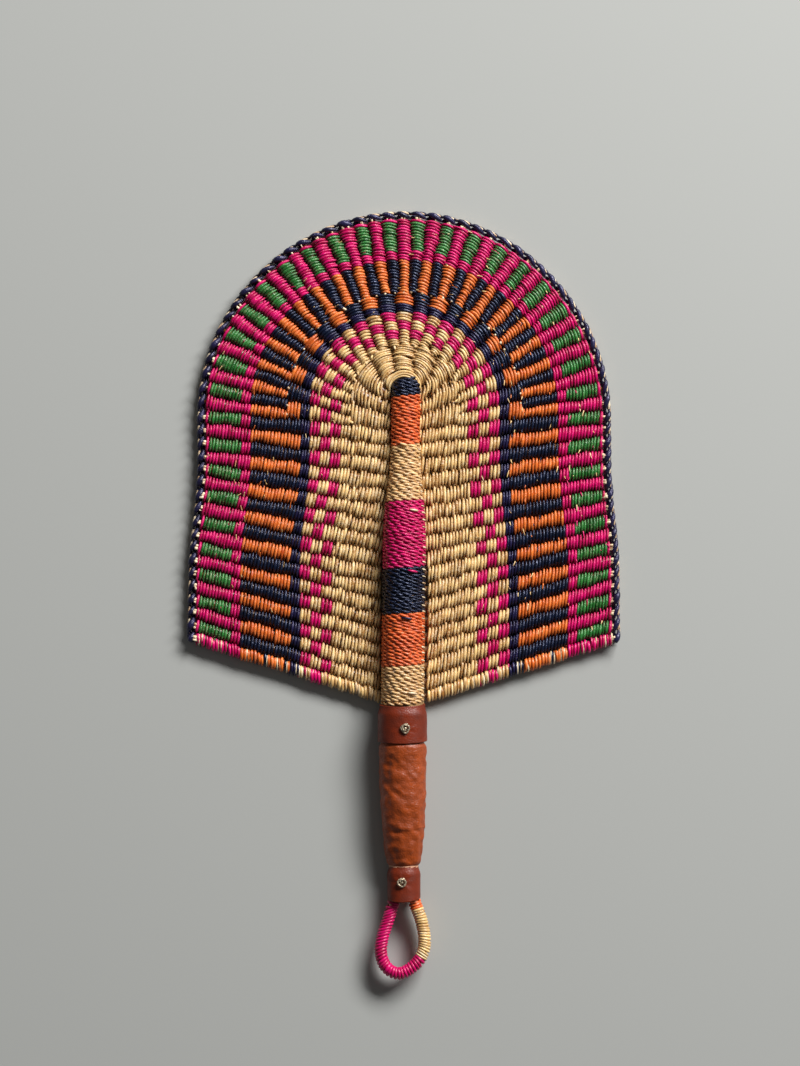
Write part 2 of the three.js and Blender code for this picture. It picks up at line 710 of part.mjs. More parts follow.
function loopFrame(share) {
  const along = loopCurve.getTangentAt(share);
  const across = new THREE.Vector3(along.y, -along.x, 0);
  return { middle: loopCurve.getPointAt(share), along, across };
}

function loopRing({ middle, across }, along, shift, radius) {
  const up = new THREE.Vector3(0, 0, 1);
  return Array.from({ length: CORD_SIDES }, (_, side) => {
    const angle = (side / CORD_SIDES) * 2 * Math.PI;
    return middle
      .clone()
      .addScaledVector(along, shift)
      .addScaledVector(across, radius * Math.cos(angle))
      .addScaledVector(up, radius * Math.sin(angle));
  });
}

// The cord of the loop. Each end is round about the mouth of the collar, where the loop bends.
function loopCore() {
  const radius = LOOP_CORD / 2;
  const round = CORD_END_STATIONS.map((over) => ({
    shift: over * radius,
    width: Math.sqrt(1 - over * over),
  }));
  const rings = Array.from({ length: LOOP_STEPS + 1 }, (_, step) => {
    const frame = loopFrame(step / LOOP_STEPS);
    return loopRing(frame, frame.along, 0, radius);
  });
  const [first, last] = [loopFrame(0), loopFrame(1)];
  const before = round.map(({ shift, width }) => loopRing(first, first.along, -shift, radius * width));
  const after = round.map(({ shift, width }) => loopRing(last, last.along, shift, radius * width));
  return ringBody([...before, ...rings, ...after.reverse()], false);
}

function loopWindingLine(from, to, turns) {
  const up = new THREE.Vector3(0, 0, 1);
  const radius = (LOOP_WIDTH - LOOP_STRAND) / 2;
  return Array.from({ length: turns * LOOP_TURN_STEPS + 1 }, (_, step) => {
    const frame = loopFrame(lerp(from, to, step / (turns * LOOP_TURN_STEPS)));
    const angle = (step / LOOP_TURN_STEPS) * 2 * Math.PI;
    const outward = frame.across.multiplyScalar(Math.cos(angle)).addScaledVector(up, Math.sin(angle));
    const point = frame.middle.addScaledVector(outward, radius);
    return { point, outward, sideways: frame.along };
  });
}

// The two ends of the cord inside the lower collar, held beside the stick's tenon.
function loopTail(x) {
  const rings = [-1, 1].map((end) => {
    const low = MOUTH + LOOP_CORD / 2 + GAP;
    const y = end < 0 ? low : low + LOOP_TAIL;
    return Array.from({ length: CORD_SIDES }, (_, side) => {
      const angle = (side / CORD_SIDES) * 2 * Math.PI;
      const [across, up] = [Math.cos(angle), Math.sin(angle)].map((part) => (part * LOOP_CORD) / 2);
      return new THREE.Vector3(x + across, y, LOOP_HEIGHT + up);
    });
  });
  return ringBody(rings, false);
}

// The fan is centred on its length, with its back on the ground.
const fan = new THREE.Group();
const BLADE_TOP = DOME_CENTRE + EDGE_RADIUS;
fan.position.set(0, -(BLADE_TOP + LOOP_FOOT) / 2, 0);

function add(name, geometry, finish) {
  const mesh = new THREE.Mesh(geometry, new THREE.MeshStandardMaterial(FINISHES[finish]));
  mesh.name = name;
  fan.add(mesh);
}

add("stakes", toGeometry(stakeFrame()), "naturalStraw");
add("natural_field", toGeometry(wovenBand(STICK_RADIUS + GAP / 2, FIELD_RADIUS)), "naturalStraw");
add("check_band", toGeometry(wovenBand(FIELD_RADIUS, CHECK_RADIUS)), "pinkStraw");
add("purple_band", toGeometry(wovenBand(CHECK_RADIUS, PURPLE_RADIUS)), "purpleStraw");
add("orange_navy_band", toGeometry(wovenBand(PURPLE_RADIUS, ORANGE_NAVY_RADIUS)), "orangeStraw");
add("pink_green_band", toGeometry(wovenBand(ORANGE_NAVY_RADIUS, PINK_GREEN_RADIUS)), "greenStraw");
add("edge_twine", toGeometry(edgeTwine()), "navyStraw");
const rollOutline = bandOutline(TWINE_RADIUS + GAP, EDGE_RADIUS, 0);
add("edge_roll", toGeometry(slab(rollOutline, 0, EDGE_ROLL_THICKNESS)), "naturalStraw");
add("left_foot_binding", toGeometry(footBinding(-1)), "naturalStraw");
add("right_foot_binding", toGeometry(footBinding(1)), "naturalStraw");

// The binding, cut into its colours at the turns where each colour's length is used up.
const turns = bindingTurns();
let firstTurn = 0;
let colourTop = 0;
for (const { name, length, finish } of BINDINGS) {
  colourTop += length;
  const above = turns.findIndex((turn) => turn.front > colourTop);
  const lastTurn = above < 0 ? turns.length - 1 : above;
  const line = bindingLine(turns.slice(firstTurn, lastTurn + 1)).slice(1, -1);
  reportSpace(name, line, STRAND, 2 * TURN_SHAPE.length);
  add(name, woundStrand(line, STRAND), finish);
  firstTurn = lastTurn;
}

// Nails stand on the front of the collars.
const upperTop = handleCentre(UPPER_COLLAR_WIDTH - 2 * FLAT_DEPTH) + handleCentre(UPPER_COLLAR_WIDTH);
const lowerTop = handleCentre(LOWER_COLLAR_WIDTH - 2 * FLAT_DEPTH) + handleCentre(LOWER_COLLAR_WIDTH);
const upperNail = new THREE.Vector3(UPPER_NAIL_X, -UPPER_NAIL_DROP, upperTop + GAP / 2);
const lowerNail = new THREE.Vector3(LOWER_NAIL_X, GRIP_FOOT - LOWER_NAIL_DROP, lowerTop + GAP / 2);
for (const [name, place] of [["upper", upperNail], ["lower", lowerNail]]) {
  const head = place.z + WASHER_THICKNESS + GAP / 2;
  add(`${name}_washer`, washer().translate(place.x, place.y, place.z), "steel");
  add(`${name}_nail`, nail().translate(place.x, place.y, head), "steel");
}

const tunnels = join([nailTunnel(upperNail), nailTunnel(lowerNail)]);
const upperCollar = collar(-GAP, GRIP_TOP, UPPER_COLLAR_WIDTH);
const lowerCollar = collar(GRIP_FOOT, MOUTH, LOWER_COLLAR_WIDTH);
add("stick", toGeometry(stick().subtract(tunnels)), "wood");
add("upper_collar", toGeometry(upperCollar.subtract(tunnels)), "darkLeather");
add("grip_leather", toGeometry(gripLeather().subtract(tunnels)), "gripLeather");
add("grip_packing", toGeometry(gripPacking().subtract(tunnels)), "packing");
add("lower_collar", toGeometry(lowerCollar.subtract(tunnels)), "darkLeather");

// The hanging loop bends at the mouth, so its windings begin a little below it.
add("loop_cord", loopCore(), "cord");
add("left_loop_tail", loopTail(LOOP_ROUTE[0][0]), "cord");
add("right_loop_tail", loopTail(LOOP_ROUTE[LOOP_ROUTE.length - 1][0]), "cord");
const loopLength = loopCurve.getLength();
const woundLength = loopLength - 2 * LOOP_FREE_ENDS;
let woundFrom = LOOP_FREE_ENDS;
for (const { name, share, turns: count, finish } of LOOP_WINDINGS) {
  const woundTo = woundFrom + share * woundLength;
  const line = loopWindingLine(
    (woundFrom + LOOP_STRAND) / loopLength,
    (woundTo - LOOP_STRAND) / loopLength,
    count,
  );
  reportSpace(name, line, LOOP_STRAND, LOOP_TURN_STEPS);
  add(name, woundStrand(line, LOOP_STRAND), finish);
  woundFrom = woundTo;
}

export default fan;
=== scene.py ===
"""A hand-woven straw fan with a bound stick, a leather handle and a hanging loop.

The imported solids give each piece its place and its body. Sizes are in metres, and MM is one millimetre.
"""

import math
from typing import NamedTuple

import bmesh
import bpy
import numpy as np
from bpy.props import FloatProperty, FloatVectorProperty, IntProperty, PointerProperty
from mathutils import Color, Matrix, Vector, noise
from mathutils.geometry import interpolate_bezier


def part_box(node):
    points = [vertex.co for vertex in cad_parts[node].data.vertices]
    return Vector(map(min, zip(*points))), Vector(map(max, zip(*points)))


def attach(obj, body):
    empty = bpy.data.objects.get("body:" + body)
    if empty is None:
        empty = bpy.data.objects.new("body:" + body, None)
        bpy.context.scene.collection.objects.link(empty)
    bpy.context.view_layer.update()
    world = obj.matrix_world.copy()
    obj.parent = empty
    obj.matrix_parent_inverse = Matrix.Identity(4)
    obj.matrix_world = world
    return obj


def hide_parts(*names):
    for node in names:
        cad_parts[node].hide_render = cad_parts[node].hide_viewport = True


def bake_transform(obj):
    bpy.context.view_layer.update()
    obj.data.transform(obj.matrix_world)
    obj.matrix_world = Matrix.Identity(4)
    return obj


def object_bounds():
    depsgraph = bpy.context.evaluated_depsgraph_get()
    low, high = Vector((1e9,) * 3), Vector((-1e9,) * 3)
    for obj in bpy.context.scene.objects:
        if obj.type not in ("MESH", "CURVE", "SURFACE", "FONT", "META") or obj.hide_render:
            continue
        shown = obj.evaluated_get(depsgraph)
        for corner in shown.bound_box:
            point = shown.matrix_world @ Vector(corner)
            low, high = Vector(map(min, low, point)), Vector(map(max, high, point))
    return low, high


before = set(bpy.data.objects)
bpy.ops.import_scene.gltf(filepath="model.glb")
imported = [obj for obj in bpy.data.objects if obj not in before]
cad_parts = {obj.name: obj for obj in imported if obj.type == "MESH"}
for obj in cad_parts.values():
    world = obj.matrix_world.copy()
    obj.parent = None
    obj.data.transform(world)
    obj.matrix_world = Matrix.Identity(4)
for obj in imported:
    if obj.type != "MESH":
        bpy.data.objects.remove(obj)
CAD_BOX = [list(corner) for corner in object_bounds()]

bl_info = {
    "name": "Woven Straw Fan",
    "version": (1, 0, 0),
    "blender": (4, 5, 0),
    "location": "View3D > Sidebar > Fan",
    "description": "Builds a twined straw fan with a bound stick, a leather handle and a hanging loop",
    "category": "Add Mesh",
}

MM = 0.001

# Seeds of the random numbers that each step draws.
WEAVE_SEED = 11
BORDER_SEED = 12
BINDING_SEED = 13
PACKING_SEED = 14
LOOP_SEED = 15
ENDS_SEED = 16

# Room that the solids keep between pieces that touch.
GAP = 0.3 * MM

# Heights on the fan are measured from the upper collar's top edge, where the handle begins.
HANDLE_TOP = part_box("upper_collar")[1].y + GAP
GRIP_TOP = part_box("upper_collar")[0].y - HANDLE_TOP
GRIP_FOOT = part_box("lower_collar")[1].y - HANDLE_TOP
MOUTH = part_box("lower_collar")[0].y - HANDLE_TOP
LOOP_HEIGHT = (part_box("loop_cord")[0].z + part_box("loop_cord")[1].z) / 2
ORIGIN = np.array((0.0, HANDLE_TOP, 0.0))

# Rows of the weave: those beside the stick, and those over the crown from the tip outwards.
SIDE_ROWS = 17
INNER_CROWN_ROWS = 9
MIDDLE_CROWN_ROWS = 21
OUTER_CROWN_ROWS = 41
STEPS_PER_ROW = 6

# The waves in which rows wander in hand weaving: each has its share of the full wander, its angle from row
# to row, and the distance across the courses that turns it by one radian.
ROW_WAVES = ((1.0, 2.3, 5.1 * MM), (1.0, 1.1, -9.7 * MM), (0.5, 3.7, 2.2 * MM))

# The wave in which courses wander: its angle over a whole course, and the distance across the courses that
# turns it by one radian.
COURSE_WAVE = (23.0, 14.0 * MM)

# A strand on its way round the stake in the lower edge, from its tucked end at the back to the front:
# its share of the bound edge's depth, its height, and its share of the full width.
FOOT_WRAP = (
    (0.95, 1.5 * MM, 0.6),
    (0.60, 0.7 * MM, 0.9),
    (0.30, 0.7 * MM, 0.9),
    (0.09, 1.4 * MM, 0.8),
    (0.01, 2.6 * MM, 0.7),
    (0.06, 3.9 * MM, 0.75),
    (0.22, 4.9 * MM, 0.9),
    (0.45, 5.4 * MM, 1.0),
    (0.68, 5.3 * MM, 1.0),
    (0.88, 4.5 * MM, 0.85),
    (1.04, 3.0 * MM, 0.5),
)

# The middle line of the loop's cord: across the fan, and below the mouth of the lower collar.
LOOP_ROUTE = (
    (-6.0 * MM, 0.0 * MM),
    (-8.9 * MM, -9.5 * MM),
    (-12.0 * MM, -19.0 * MM),
    (-13.4 * MM, -28.0 * MM),
    (-11.6 * MM, -35.6 * MM),
    (-7.2 * MM, -40.2 * MM),
    (-1.8 * MM, -41.2 * MM),
    (3.6 * MM, -38.6 * MM),
    (8.4 * MM, -34.0 * MM),
    (11.5 * MM, -27.5 * MM),
    (11.7 * MM, -19.0 * MM),
    (9.7 * MM, -9.6 * MM),
    (6.0 * MM, 0.0 * MM),
)


class Twist(NamedTuple):
    """How two strands twist round each other from row to row.

    A strand rises and falls by lift from a middle height, and sways across its course. Narrow is the share
    of its width that it keeps where it dives, and a small dive makes it dive late. Stagger, in rows, is
    how unevenly the dives fall, and overrun, in rows, is how far a strand goes past the lower edges.
    """

    middle: float
    lift: float
    sway: float
    narrow: float
    dive: float
    stagger: float
    overrun: float


WEAVE_TWIST = Twist(3.0 * MM, 2.45 * MM, 0.48 * MM, narrow=0.5, dive=0.42, stagger=0.045, overrun=-0.5)
EDGE_TWIST = Twist(3.6 * MM, 1.9 * MM, 1.3 * MM, narrow=0.3, dive=0.6, stagger=0.03, overrun=0.3)
RIM_TWIST = Twist(2.5 * MM, 0.8 * MM, 0.3 * MM, narrow=0.8, dive=0.85, stagger=0.0, overrun=-0.3)


# The highest screen value of a colour channel.
FULL_CHANNEL = 255


def length(name, description, millimetres):
    """A length in the sidebar, written in millimetres."""
    return FloatProperty(name=name, description=description, default=millimetres * MM, unit="LENGTH")


def plain_number(name, description, number):
    """A number without a unit in the sidebar."""
    return FloatProperty(name=name, description=description, default=number)


def whole_number(name, description, number):
    """A whole number in the sidebar."""
    return IntProperty(name=name, description=description, default=number)


def colour(name, description, *channels):
    """A colour in the sidebar, written in screen values."""
    screen = Color([channel / FULL_CHANNEL for channel in channels])
    light = tuple(screen.from_srgb_to_scene_linear())
    return FloatVectorProperty(
        name=name, description=description, default=light, subtype="COLOR", min=0.0, max=1.0
    )


class FAN_PG_blade(bpy.types.PropertyGroup):
    """Sizes of the woven blade."""

    field_width: length("Field", "Width of the natural weave beside the stick", 28.9)
    check_width: length("Checks", "Width of the three rings of checks", 18.3)
    purple_width: length("Purple line", "Width of the purple line", 5.2)
    orange_navy_width: length("Orange and navy", "Width of the orange and navy band", 29.0)
    pink_green_width: length("Pink and green", "Width of the pink and green band", 25.5)
    edge_twine_width: length("Edge twine", "Width of the navy twine on the edge", 2.9)
    edge_roll_width: length("Edge roll", "Width of the natural twine outside the edge", 1.9)
    dome_centre: length("Dome centre", "Height of the outer edge's centre above the handle", 166.0)
    centre_rise: length("Centre rise", "How much higher the innermost courses are centred", 20.9)
    foot: length("Foot", "Height of the blade's foot beside the stick", 1.7)
    foot_slope: plain_number("Foot slope", "Rise of the lower edges", 0.313)
    stick_row_pitch: length("Row pitch at the stick", "Spacing of the side rows at the stick", 8.9)
    edge_row_pitch: length("Row pitch at the edge", "Spacing of the side rows at the edge", 7.5)
    foot_binding: length("Foot binding", "Depth of the bound lower edge", 7.0)
    row_wander: length("Row wander", "How far the rows wander along a course", 0.32)
    course_wander: length("Course wander", "How far the courses wander outwards", 0.3)
    crown_bow: length("Crown bow", "How far a strand over the crown bows outwards on a stake", 0.9)
    inner_reach: length("Inner reach", "Radius inside which fewer stakes cross the crown", 30.5)
    tip_push: length("Tip push", "How far the hoop round the tip pushes the innermost course outwards", 5.2)
    last_stakes_inset: length("Last stakes", "Distance past the purple line where the last stakes join", 8.0)
    field_courses: whole_number("Field courses", "Courses in the field", 15)
    check_courses: whole_number("Check courses", "Courses in each ring of checks", 3)
    purple_courses: whole_number("Purple courses", "Courses in the purple line", 3)
    orange_navy_courses: whole_number("Orange and navy courses", "Courses in the orange and navy band", 15)
    pink_line_courses: whole_number("Pink line courses", "Courses in the pink line inside the green", 3)
    green_courses: whole_number("Green courses", "Courses with green in them", 10)
    pink_edge_courses: whole_number("Pink edge courses", "Courses in the pink line outside the green", 1)


class FAN_PG_stick(bpy.types.PropertyGroup):
    """Sizes of the stick and its binding."""

    tip_width: length("Tip width", "Width of the bound stick at its tip", 15.8)
    tip_rise: length("Tip rise", "How far the binding reaches past the round of the blade's inner end", 1.3)
    foot_lean: length("Foot lean", "How far the bound stick's foot lies to the right", -0.95)
    tip_lean: length("Tip lean", "How far the bound stick's tip lies to the right", 1.2)
    bound_tip_width: length("Bound tip width", "Width over the binding at the tip", 17.8)
    bound_foot_width: length("Bound foot width", "Width over the binding at the foot", 25.4)
    bound_shoulder_top: length("Bound shoulder top", "Height where the binding begins to widen", 150.0)
    bound_shoulder_foot: length("Bound shoulder foot", "Height below which the binding is widest", 95.0)
    foot_width: length("Foot width", "Width of the bound stick at its foot", 26.8)
    tip_thickness: length("Tip thickness", "Height of the bound stick at its tip", 13.0)
    foot_thickness: length("Foot thickness", "Height of the bound stick at its foot", 20.0)
    shoulder_top: length("Shoulder top", "Height where the stick begins to widen", 145.0)
    shoulder_foot: length("Shoulder foot", "Height below which the stick is widest", 75.0)
    back: length("Back", "Height of the stick's flat back", 4.4)
    cord_pitch: length("Cord pitch", "Spacing of the binding's turns", 2.03)
    ply_width: length("Ply width", "Width of one of the two straws in the binding cord", 1.54)
    lay: length("Lay", "Length in which the two straws go once round each other", 9.6)


class FAN_PG_handle(bpy.types.PropertyGroup):
    """Sizes of the leather handle and its nails."""

    upper_collar_width: length("Upper collar", "Width of the upper collar", 28.6)
    lower_collar_width: length("Lower collar", "Width of the lower collar", 19.3)
    grip_top_width: length("Grip top", "Width of the grip below the upper collar", 27.4)
    grip_middle_width: length("Grip middle", "Width of the grip at half its length", 26.4)
    grip_low_width: length("Grip low", "Width of the grip where it narrows", 22.6)
    grip_foot_width: length("Grip foot", "Width of the grip above the lower collar", 19.0)
    leather: length("Leather", "Thickness of the leather", 1.2)
    tuck: length("Tuck", "How far the grip reaches into the collars", 4.5)
    bump: length("Bumps", "Height of the bumps in the grip", 0.95)
    lean: length("Lean", "How far the top of the handle lies to the right of its mouth", -1.0)
    ring_width: length("Nail ring", "Width of the curled wire round a nail", 5.6)
    wire: length("Wire", "Thickness of the curled wire", 1.15)


class FAN_PG_loop(bpy.types.PropertyGroup):
    """Sizes of the hanging loop."""

    cord: length("Cord", "Thickness of the cord inside the loop", 3.9)
    width: length("Width", "Thickness of the loop with its winding", 7.6)
    tail: length("Tail", "Length of cord held in the lower collar at each end", 15.0)
    left_free: length("Left free end", "Distance from the mouth to the first turn of pink straw", 0.4)
    right_tuck: length("Right tuck", "How far the last orange turn reaches into the slanting mouth", 1.3)
    pink_turns: whole_number("Pink turns", "Turns of pink straw", 34)
    natural_turns: whole_number("Natural turns", "Turns of natural straw", 19)
    orange_turns: whole_number("Orange turns", "Turns of orange straw", 3)
    first_slant: length("First slant", "How far the first pink turns lie further along on the outside", 3.4)
    last_slant: length("Last slant", "How far the last pink turns lie further along on the outside", -0.9)


class FAN_PG_colours(bpy.types.PropertyGroup):
    """Colours of straw, leather, metal and floor."""

    natural: colour("Natural", "Undyed straw", 254, 214, 144)
    pith: colour("Pith", "Pale cut ends of straw", 252, 232, 194)
    # Colour of undyed straw in its dark streaks and in the painted shade where it lies deep between others.
    natural_streak_and_shade: colour("Straw shade", "Undyed straw where it lies deep between others", 156, 98, 34)
    # Painted shade: the stakes' straw is made dark to stand for the shade in the gaps between the strands.
    stake: colour("Stakes", "Straw of the stakes, darkened as painted shade where it shows between the strands", 96, 62, 30)
    pink: colour("Pink", "Pink straw", 222, 6, 110)
    green: colour("Green", "Green straw", 50, 130, 56)
    orange: colour("Orange", "Orange straw", 242, 126, 50)
    navy: colour("Navy", "Navy straw", 12, 22, 46)
    purple: colour("Purple", "Purple straw", 33, 29, 68)
    binding_natural: colour("Binding natural", "Undyed straw on the stick", 248, 204, 142)
    binding_orange: colour("Binding orange", "Orange straw on the stick", 240, 112, 52)
    dark_leather: colour("Collars", "Leather of the collars", 124, 41, 12)
    grip_leather: colour("Grip", "Leather of the grip", 160, 67, 15)
    raw_leather: colour("Raw edge", "Cut edge of the leather", 216, 160, 128)
    wood: colour("Wood", "Stick under the binding", 169, 133, 90)
    iron: colour("Iron", "Nails and their rings", 232, 212, 180)
    floor: colour("Floor", "Floor under the fan", 179, 180, 176)


class FAN_PG_stage(bpy.types.PropertyGroup):
    """Camera, floor and lights."""

    view_height: length("View height", "Height of the camera above the blade", 3000.0)
    view_width: length("View width", "Width of the picture at the blade", 464.0)
    view_x: length("View across", "Place of the picture's centre across the fan", -2.3)
    view_y: length("View along", "Place of the picture's centre along the fan", 36.3)
    floor_size: length("Floor", "Half the width of the floor", 4000.0)
    window_place: FloatVectorProperty(
        name="Window place",
        description="Place of the soft light",
        default=(1.54, 2.1, 1.57),
        subtype="TRANSLATION",
    )
    window_width: length("Window width", "Width of the soft light", 2030.0)
    window_height: length("Window height", "Height of the soft light", 840.0)
    window_power: plain_number("Window power", "Power of the soft light", 170.0)
    sky: plain_number("Sky", "Strength of the light from all round", 0.09)


GROUPS = {
    "fan_blade": FAN_PG_blade,
    "fan_stick": FAN_PG_stick,
    "fan_handle": FAN_PG_handle,
    "fan_loop": FAN_PG_loop,
    "fan_colours": FAN_PG_colours,
    "fan_stage": FAN_PG_stage,
}


def smooth_share(share):
    """A share from 0 to 1 that starts and ends gently."""
    share = np.clip(share, 0.0, 1.0)
    return share * share * (3.0 - 2.0 * share)


class Blade:
    """Places on the blade, by the radius of a course and by rows counted from the left foot."""

    def __init__(self, scene):
        self.sizes = scene.fan_blade
        self.stick = scene.fan_stick
        self.inner = self.stick.tip_width / 2
        self.field = self.inner + self.sizes.field_width
        self.check = self.field + self.sizes.check_width
        self.purple = self.check + self.sizes.purple_width
        self.orange_navy = self.purple + self.sizes.orange_navy_width
        self.pink_green = self.orange_navy + self.sizes.pink_green_width
        self.twine = self.pink_green + self.sizes.edge_twine_width
        self.edge = self.twine + self.sizes.edge_roll_width
        self.last_stakes = self.purple + self.sizes.last_stakes_inset

    def widening(self, height):
        """How far the widening stick pushes a course outwards at a height."""
        reach = self.stick.shoulder_top - self.stick.shoulder_foot
        share = smooth_share((self.stick.shoulder_top - height) / reach)
        return share * (self.stick.foot_width - self.stick.tip_width) / 2

    def arc_centre(self, radius):
        """Height of the centre of a course's round over the crown."""
        return self.sizes.dome_centre + self.sizes.centre_rise * (1 - np.sqrt(radius / self.edge))

    def foot(self, radius):
        """Height of a course's lower end."""
        return self.sizes.foot + self.sizes.foot_slope * (radius - self.inner)

    def length(self, radius):
        """Length of a course from its left foot over the crown to its right foot."""
        return 2 * (self.arc_centre(radius) - self.foot(radius)) + np.pi * radius

    def row_pitch(self, radius):
        """Spacing of the side rows along a course."""
        share = (radius - self.inner) / (self.edge - self.inner)
        return self.sizes.stick_row_pitch + share * (self.sizes.edge_row_pitch - self.sizes.stick_row_pitch)

    def crown_rows(self, radius):
        """Number of rows over the crown on a course."""
        if radius < self.sizes.inner_reach:
            return INNER_CROWN_ROWS
        return MIDDLE_CROWN_ROWS if radius < self.last_stakes else OUTER_CROWN_ROWS

    def along(self, rows, radius, crown_rows):
        """Distance along a course from its left foot to a place counted in rows."""
        last = last_row(crown_rows)
        edge = SIDE_ROWS + 0.5
        whole = self.length(radius)
        left = self.sizes.foot_binding + (rows - 0.5) * self.row_pitch(radius)
        right = whole - self.sizes.foot_binding - (last - rows - 0.5) * self.row_pitch(radius)
        start = self.sizes.foot_binding + SIDE_ROWS * self.row_pitch(radius)
        crown = start + (rows - edge) / crown_rows * (whole - 2 * start)
        even = np.where(rows < edge, left, np.where(rows > last - edge, right, crown))
        waves = [share * np.sin(turn * rows + radius / across) for share, turn, across in ROW_WAVES]
        return even + self.sizes.row_wander * sum(waves)

    def crown_push(self, radius):
        """How far a course is pushed outwards over the crown by the hoop round the tip."""
        return self.sizes.tip_push * np.clip((self.field - radius) / (self.field - self.inner), 0.0, 1.0)

    def points(self, radius, along):
        """Across and height of places on courses."""
        half = self.length(radius) / 2
        is_right = along > half
        near = np.where(is_right, 2 * half - along, along)
        side = self.arc_centre(radius) - self.foot(radius)
        height = self.foot(radius) + near
        angle = np.pi - (near - side) / radius
        is_side = near <= side
        pushed = radius + self.crown_push(radius) * np.sin(angle)
        x = np.where(is_side, -radius - self.widening(height), pushed * np.cos(angle))
        y = np.where(is_side, height, self.arc_centre(radius) + pushed * np.sin(angle))
        return np.where(is_right, -x, x), y

    def wandered(self, radius, rows, crown_rows):
        """Radius of a course at places counted in rows, with the small waves of hand weaving."""
        around, across = COURSE_WAVE
        wave = np.sin(around * rows / last_row(crown_rows) + radius / across)
        return radius + self.sizes.course_wander * wave

    def row_points(self, radius, rows, crown_rows):
        """Across and height of places counted in rows."""
        return self.points(radius, self.along(rows, radius, crown_rows))


def last_row(crown_rows):
    """Number of the row in the right lower edge. The row in the left lower edge is row 0."""
    return 2 * SIDE_ROWS + 1 + crown_rows


def link(thing):
    """Puts a new object in the scene."""
    bpy.context.scene.collection.objects.link(thing)
    return thing


def oval_section(name, height, sides):
    """A closed section of half width 1, from which strands take their thickness."""
    curve = bpy.data.curves.new(name, "CURVE")
    spline = curve.splines.new("POLY")
    spline.points.add(sides - 1)
    spline.use_cyclic_u = True
    for side, point in enumerate(spline.points):
        angle = -2 * math.pi * (side + 0.5) / sides
        point.co = (math.cos(angle), height * math.sin(angle), 0.0, 1.0)
    return link(bpy.data.objects.new(name, curve))


def distances(line):
    """How far each place on a line is from its start, along the line."""
    return np.cumsum(np.linalg.norm(np.diff(line, axis=0, prepend=line[:1]), axis=1))


# Columns of a strand's rows after x, y and z.
HALF_WIDTH = 3
TONE = 4

# How far along a straw its fibres keep their shade.
FIBRE_LENGTH = 9.0 * MM


def mark_fibres(mesh, lines, sides):
    """Gives a mesh of strands the run of its fibres and the tone of each straw, which also carries the
    painted shade where a straw dives.
    """
    rows = np.vstack(lines)
    along = np.concatenate([distances(line[:, :HALF_WIDTH]) for line in lines])
    angle = np.tile(np.arange(sides) * 2 * np.pi / sides, len(rows))
    run = np.repeat(along, sides) / FIBRE_LENGTH
    fibre = np.column_stack((run, np.cos(angle), np.sin(angle))).astype(np.float32)
    tone = np.repeat(rows[:, TONE], sides).astype(np.float32)
    mesh.attributes.new("fibre", "FLOAT_VECTOR", "POINT").data.foreach_set("vector", fibre.ravel())
    mesh.attributes.new("tone", "FLOAT", "POINT").data.foreach_set("value", tone)


def close_ends(mesh):
    """Closes the open ends of tubes."""
    bm = bmesh.new()
    bm.from_mesh(mesh)
    rims = [edge for edge in bm.edges if edge.is_boundary]
    bmesh.ops.holes_fill(bm, edges=rims)
    bm.to_mesh(mesh)
    bm.free()


# Tubes of strands: their sides, and the height of a round one as a share of its width.
COARSE_SIDES = 5
PLAIN_SIDES = 6
FINE_SIDES = 8
ROUND = 1.0


def strands(name, lines, height=ROUND, sides=PLAIN_SIDES):
    """One mesh with a closed tube along each line, whose rows hold x, y, z, half width and tone.

    A flat straw keeps its width in the plane of the blade.
    """
    section = oval_section(name + "_section", height, sides)
    curve = bpy.data.curves.new(name, "CURVE")
    curve.dimensions = "3D"
    curve.twist_mode = "MINIMUM" if height == ROUND else "Z_UP"
    curve.bevel_mode = "OBJECT"
    curve.bevel_object = section
    for line in lines:
        spline = curve.splines.new("POLY")
        spline.points.add(len(line) - 1)
        places = np.column_stack((line[:, :HALF_WIDTH] + ORIGIN, np.ones(len(line))))
        spline.points.foreach_set("co", places.astype(np.float32).ravel())
        spline.points.foreach_set("radius", line[:, HALF_WIDTH].astype(np.float32))
    guide = link(bpy.data.objects.new(name, curve))
    bpy.context.view_layer.update()
    graph = bpy.context.evaluated_depsgraph_get()
    mesh = bpy.data.meshes.new_from_object(guide.evaluated_get(graph))
    for helper in (guide, section):
        data = helper.data
        bpy.data.objects.remove(helper)
        bpy.data.curves.remove(data)
    mark_fibres(mesh, lines, sides)
    close_ends(mesh)
    mesh.name = name
    return link(bpy.data.objects.new(name, mesh))


def per_row(dice, rows, spread):
    """One random number for each row, blended between rows."""
    knots = np.arange(-1, int(np.ceil(np.max(rows))) + 2)
    return np.interp(rows, knots, dice.normal(0.0, spread, len(knots)))


def uneven(dice, along, step, spread):
    """Random numbers at even steps along a strand, blended between them."""
    knots = np.arange(0.0, along[-1] + 2 * step, step)
    return np.interp(along, knots, dice.normal(0.0, spread, len(knots)))


# Width of a strand as a share of the spacing of the courses, and its height as a share of its width.
STRAND_FULLNESS = 0.98
STRAND_HEIGHT = 0.98

# Share by which the strands over the inner crown are thinner than their spacing.
CROWN_GAP = 0.03

# Mean of how far a strand is out of its dives, from 0 in a dive to 1 on a stake.
MEAN_FULL = 2 / np.pi

# How soon a strand has its full width again after a dive. A smaller power makes it sooner.
WIDTH_POWER = 0.7

# Unevenness of a strand from row to row: how much more its dives stagger in the field, how far it strays
# across its course and in height, and by what share its width differs.
FIELD_STAGGER = 2.2
COURSE_STRAY = 0.08 * MM
HEIGHT_STRAY = 0.14 * MM
WIDTH_STRAY = 0.11

# How much the tone differs from strand to strand, from row to row along a strand, and between single straws.
STRAND_TONE = 0.4
ROW_TONE = 0.8
STRAW_TONE = 0.9

# Painted shade: how much darker the colour of a straw is made where it dives between others.
PAINTED_CREVICE_SHADE = 1.8


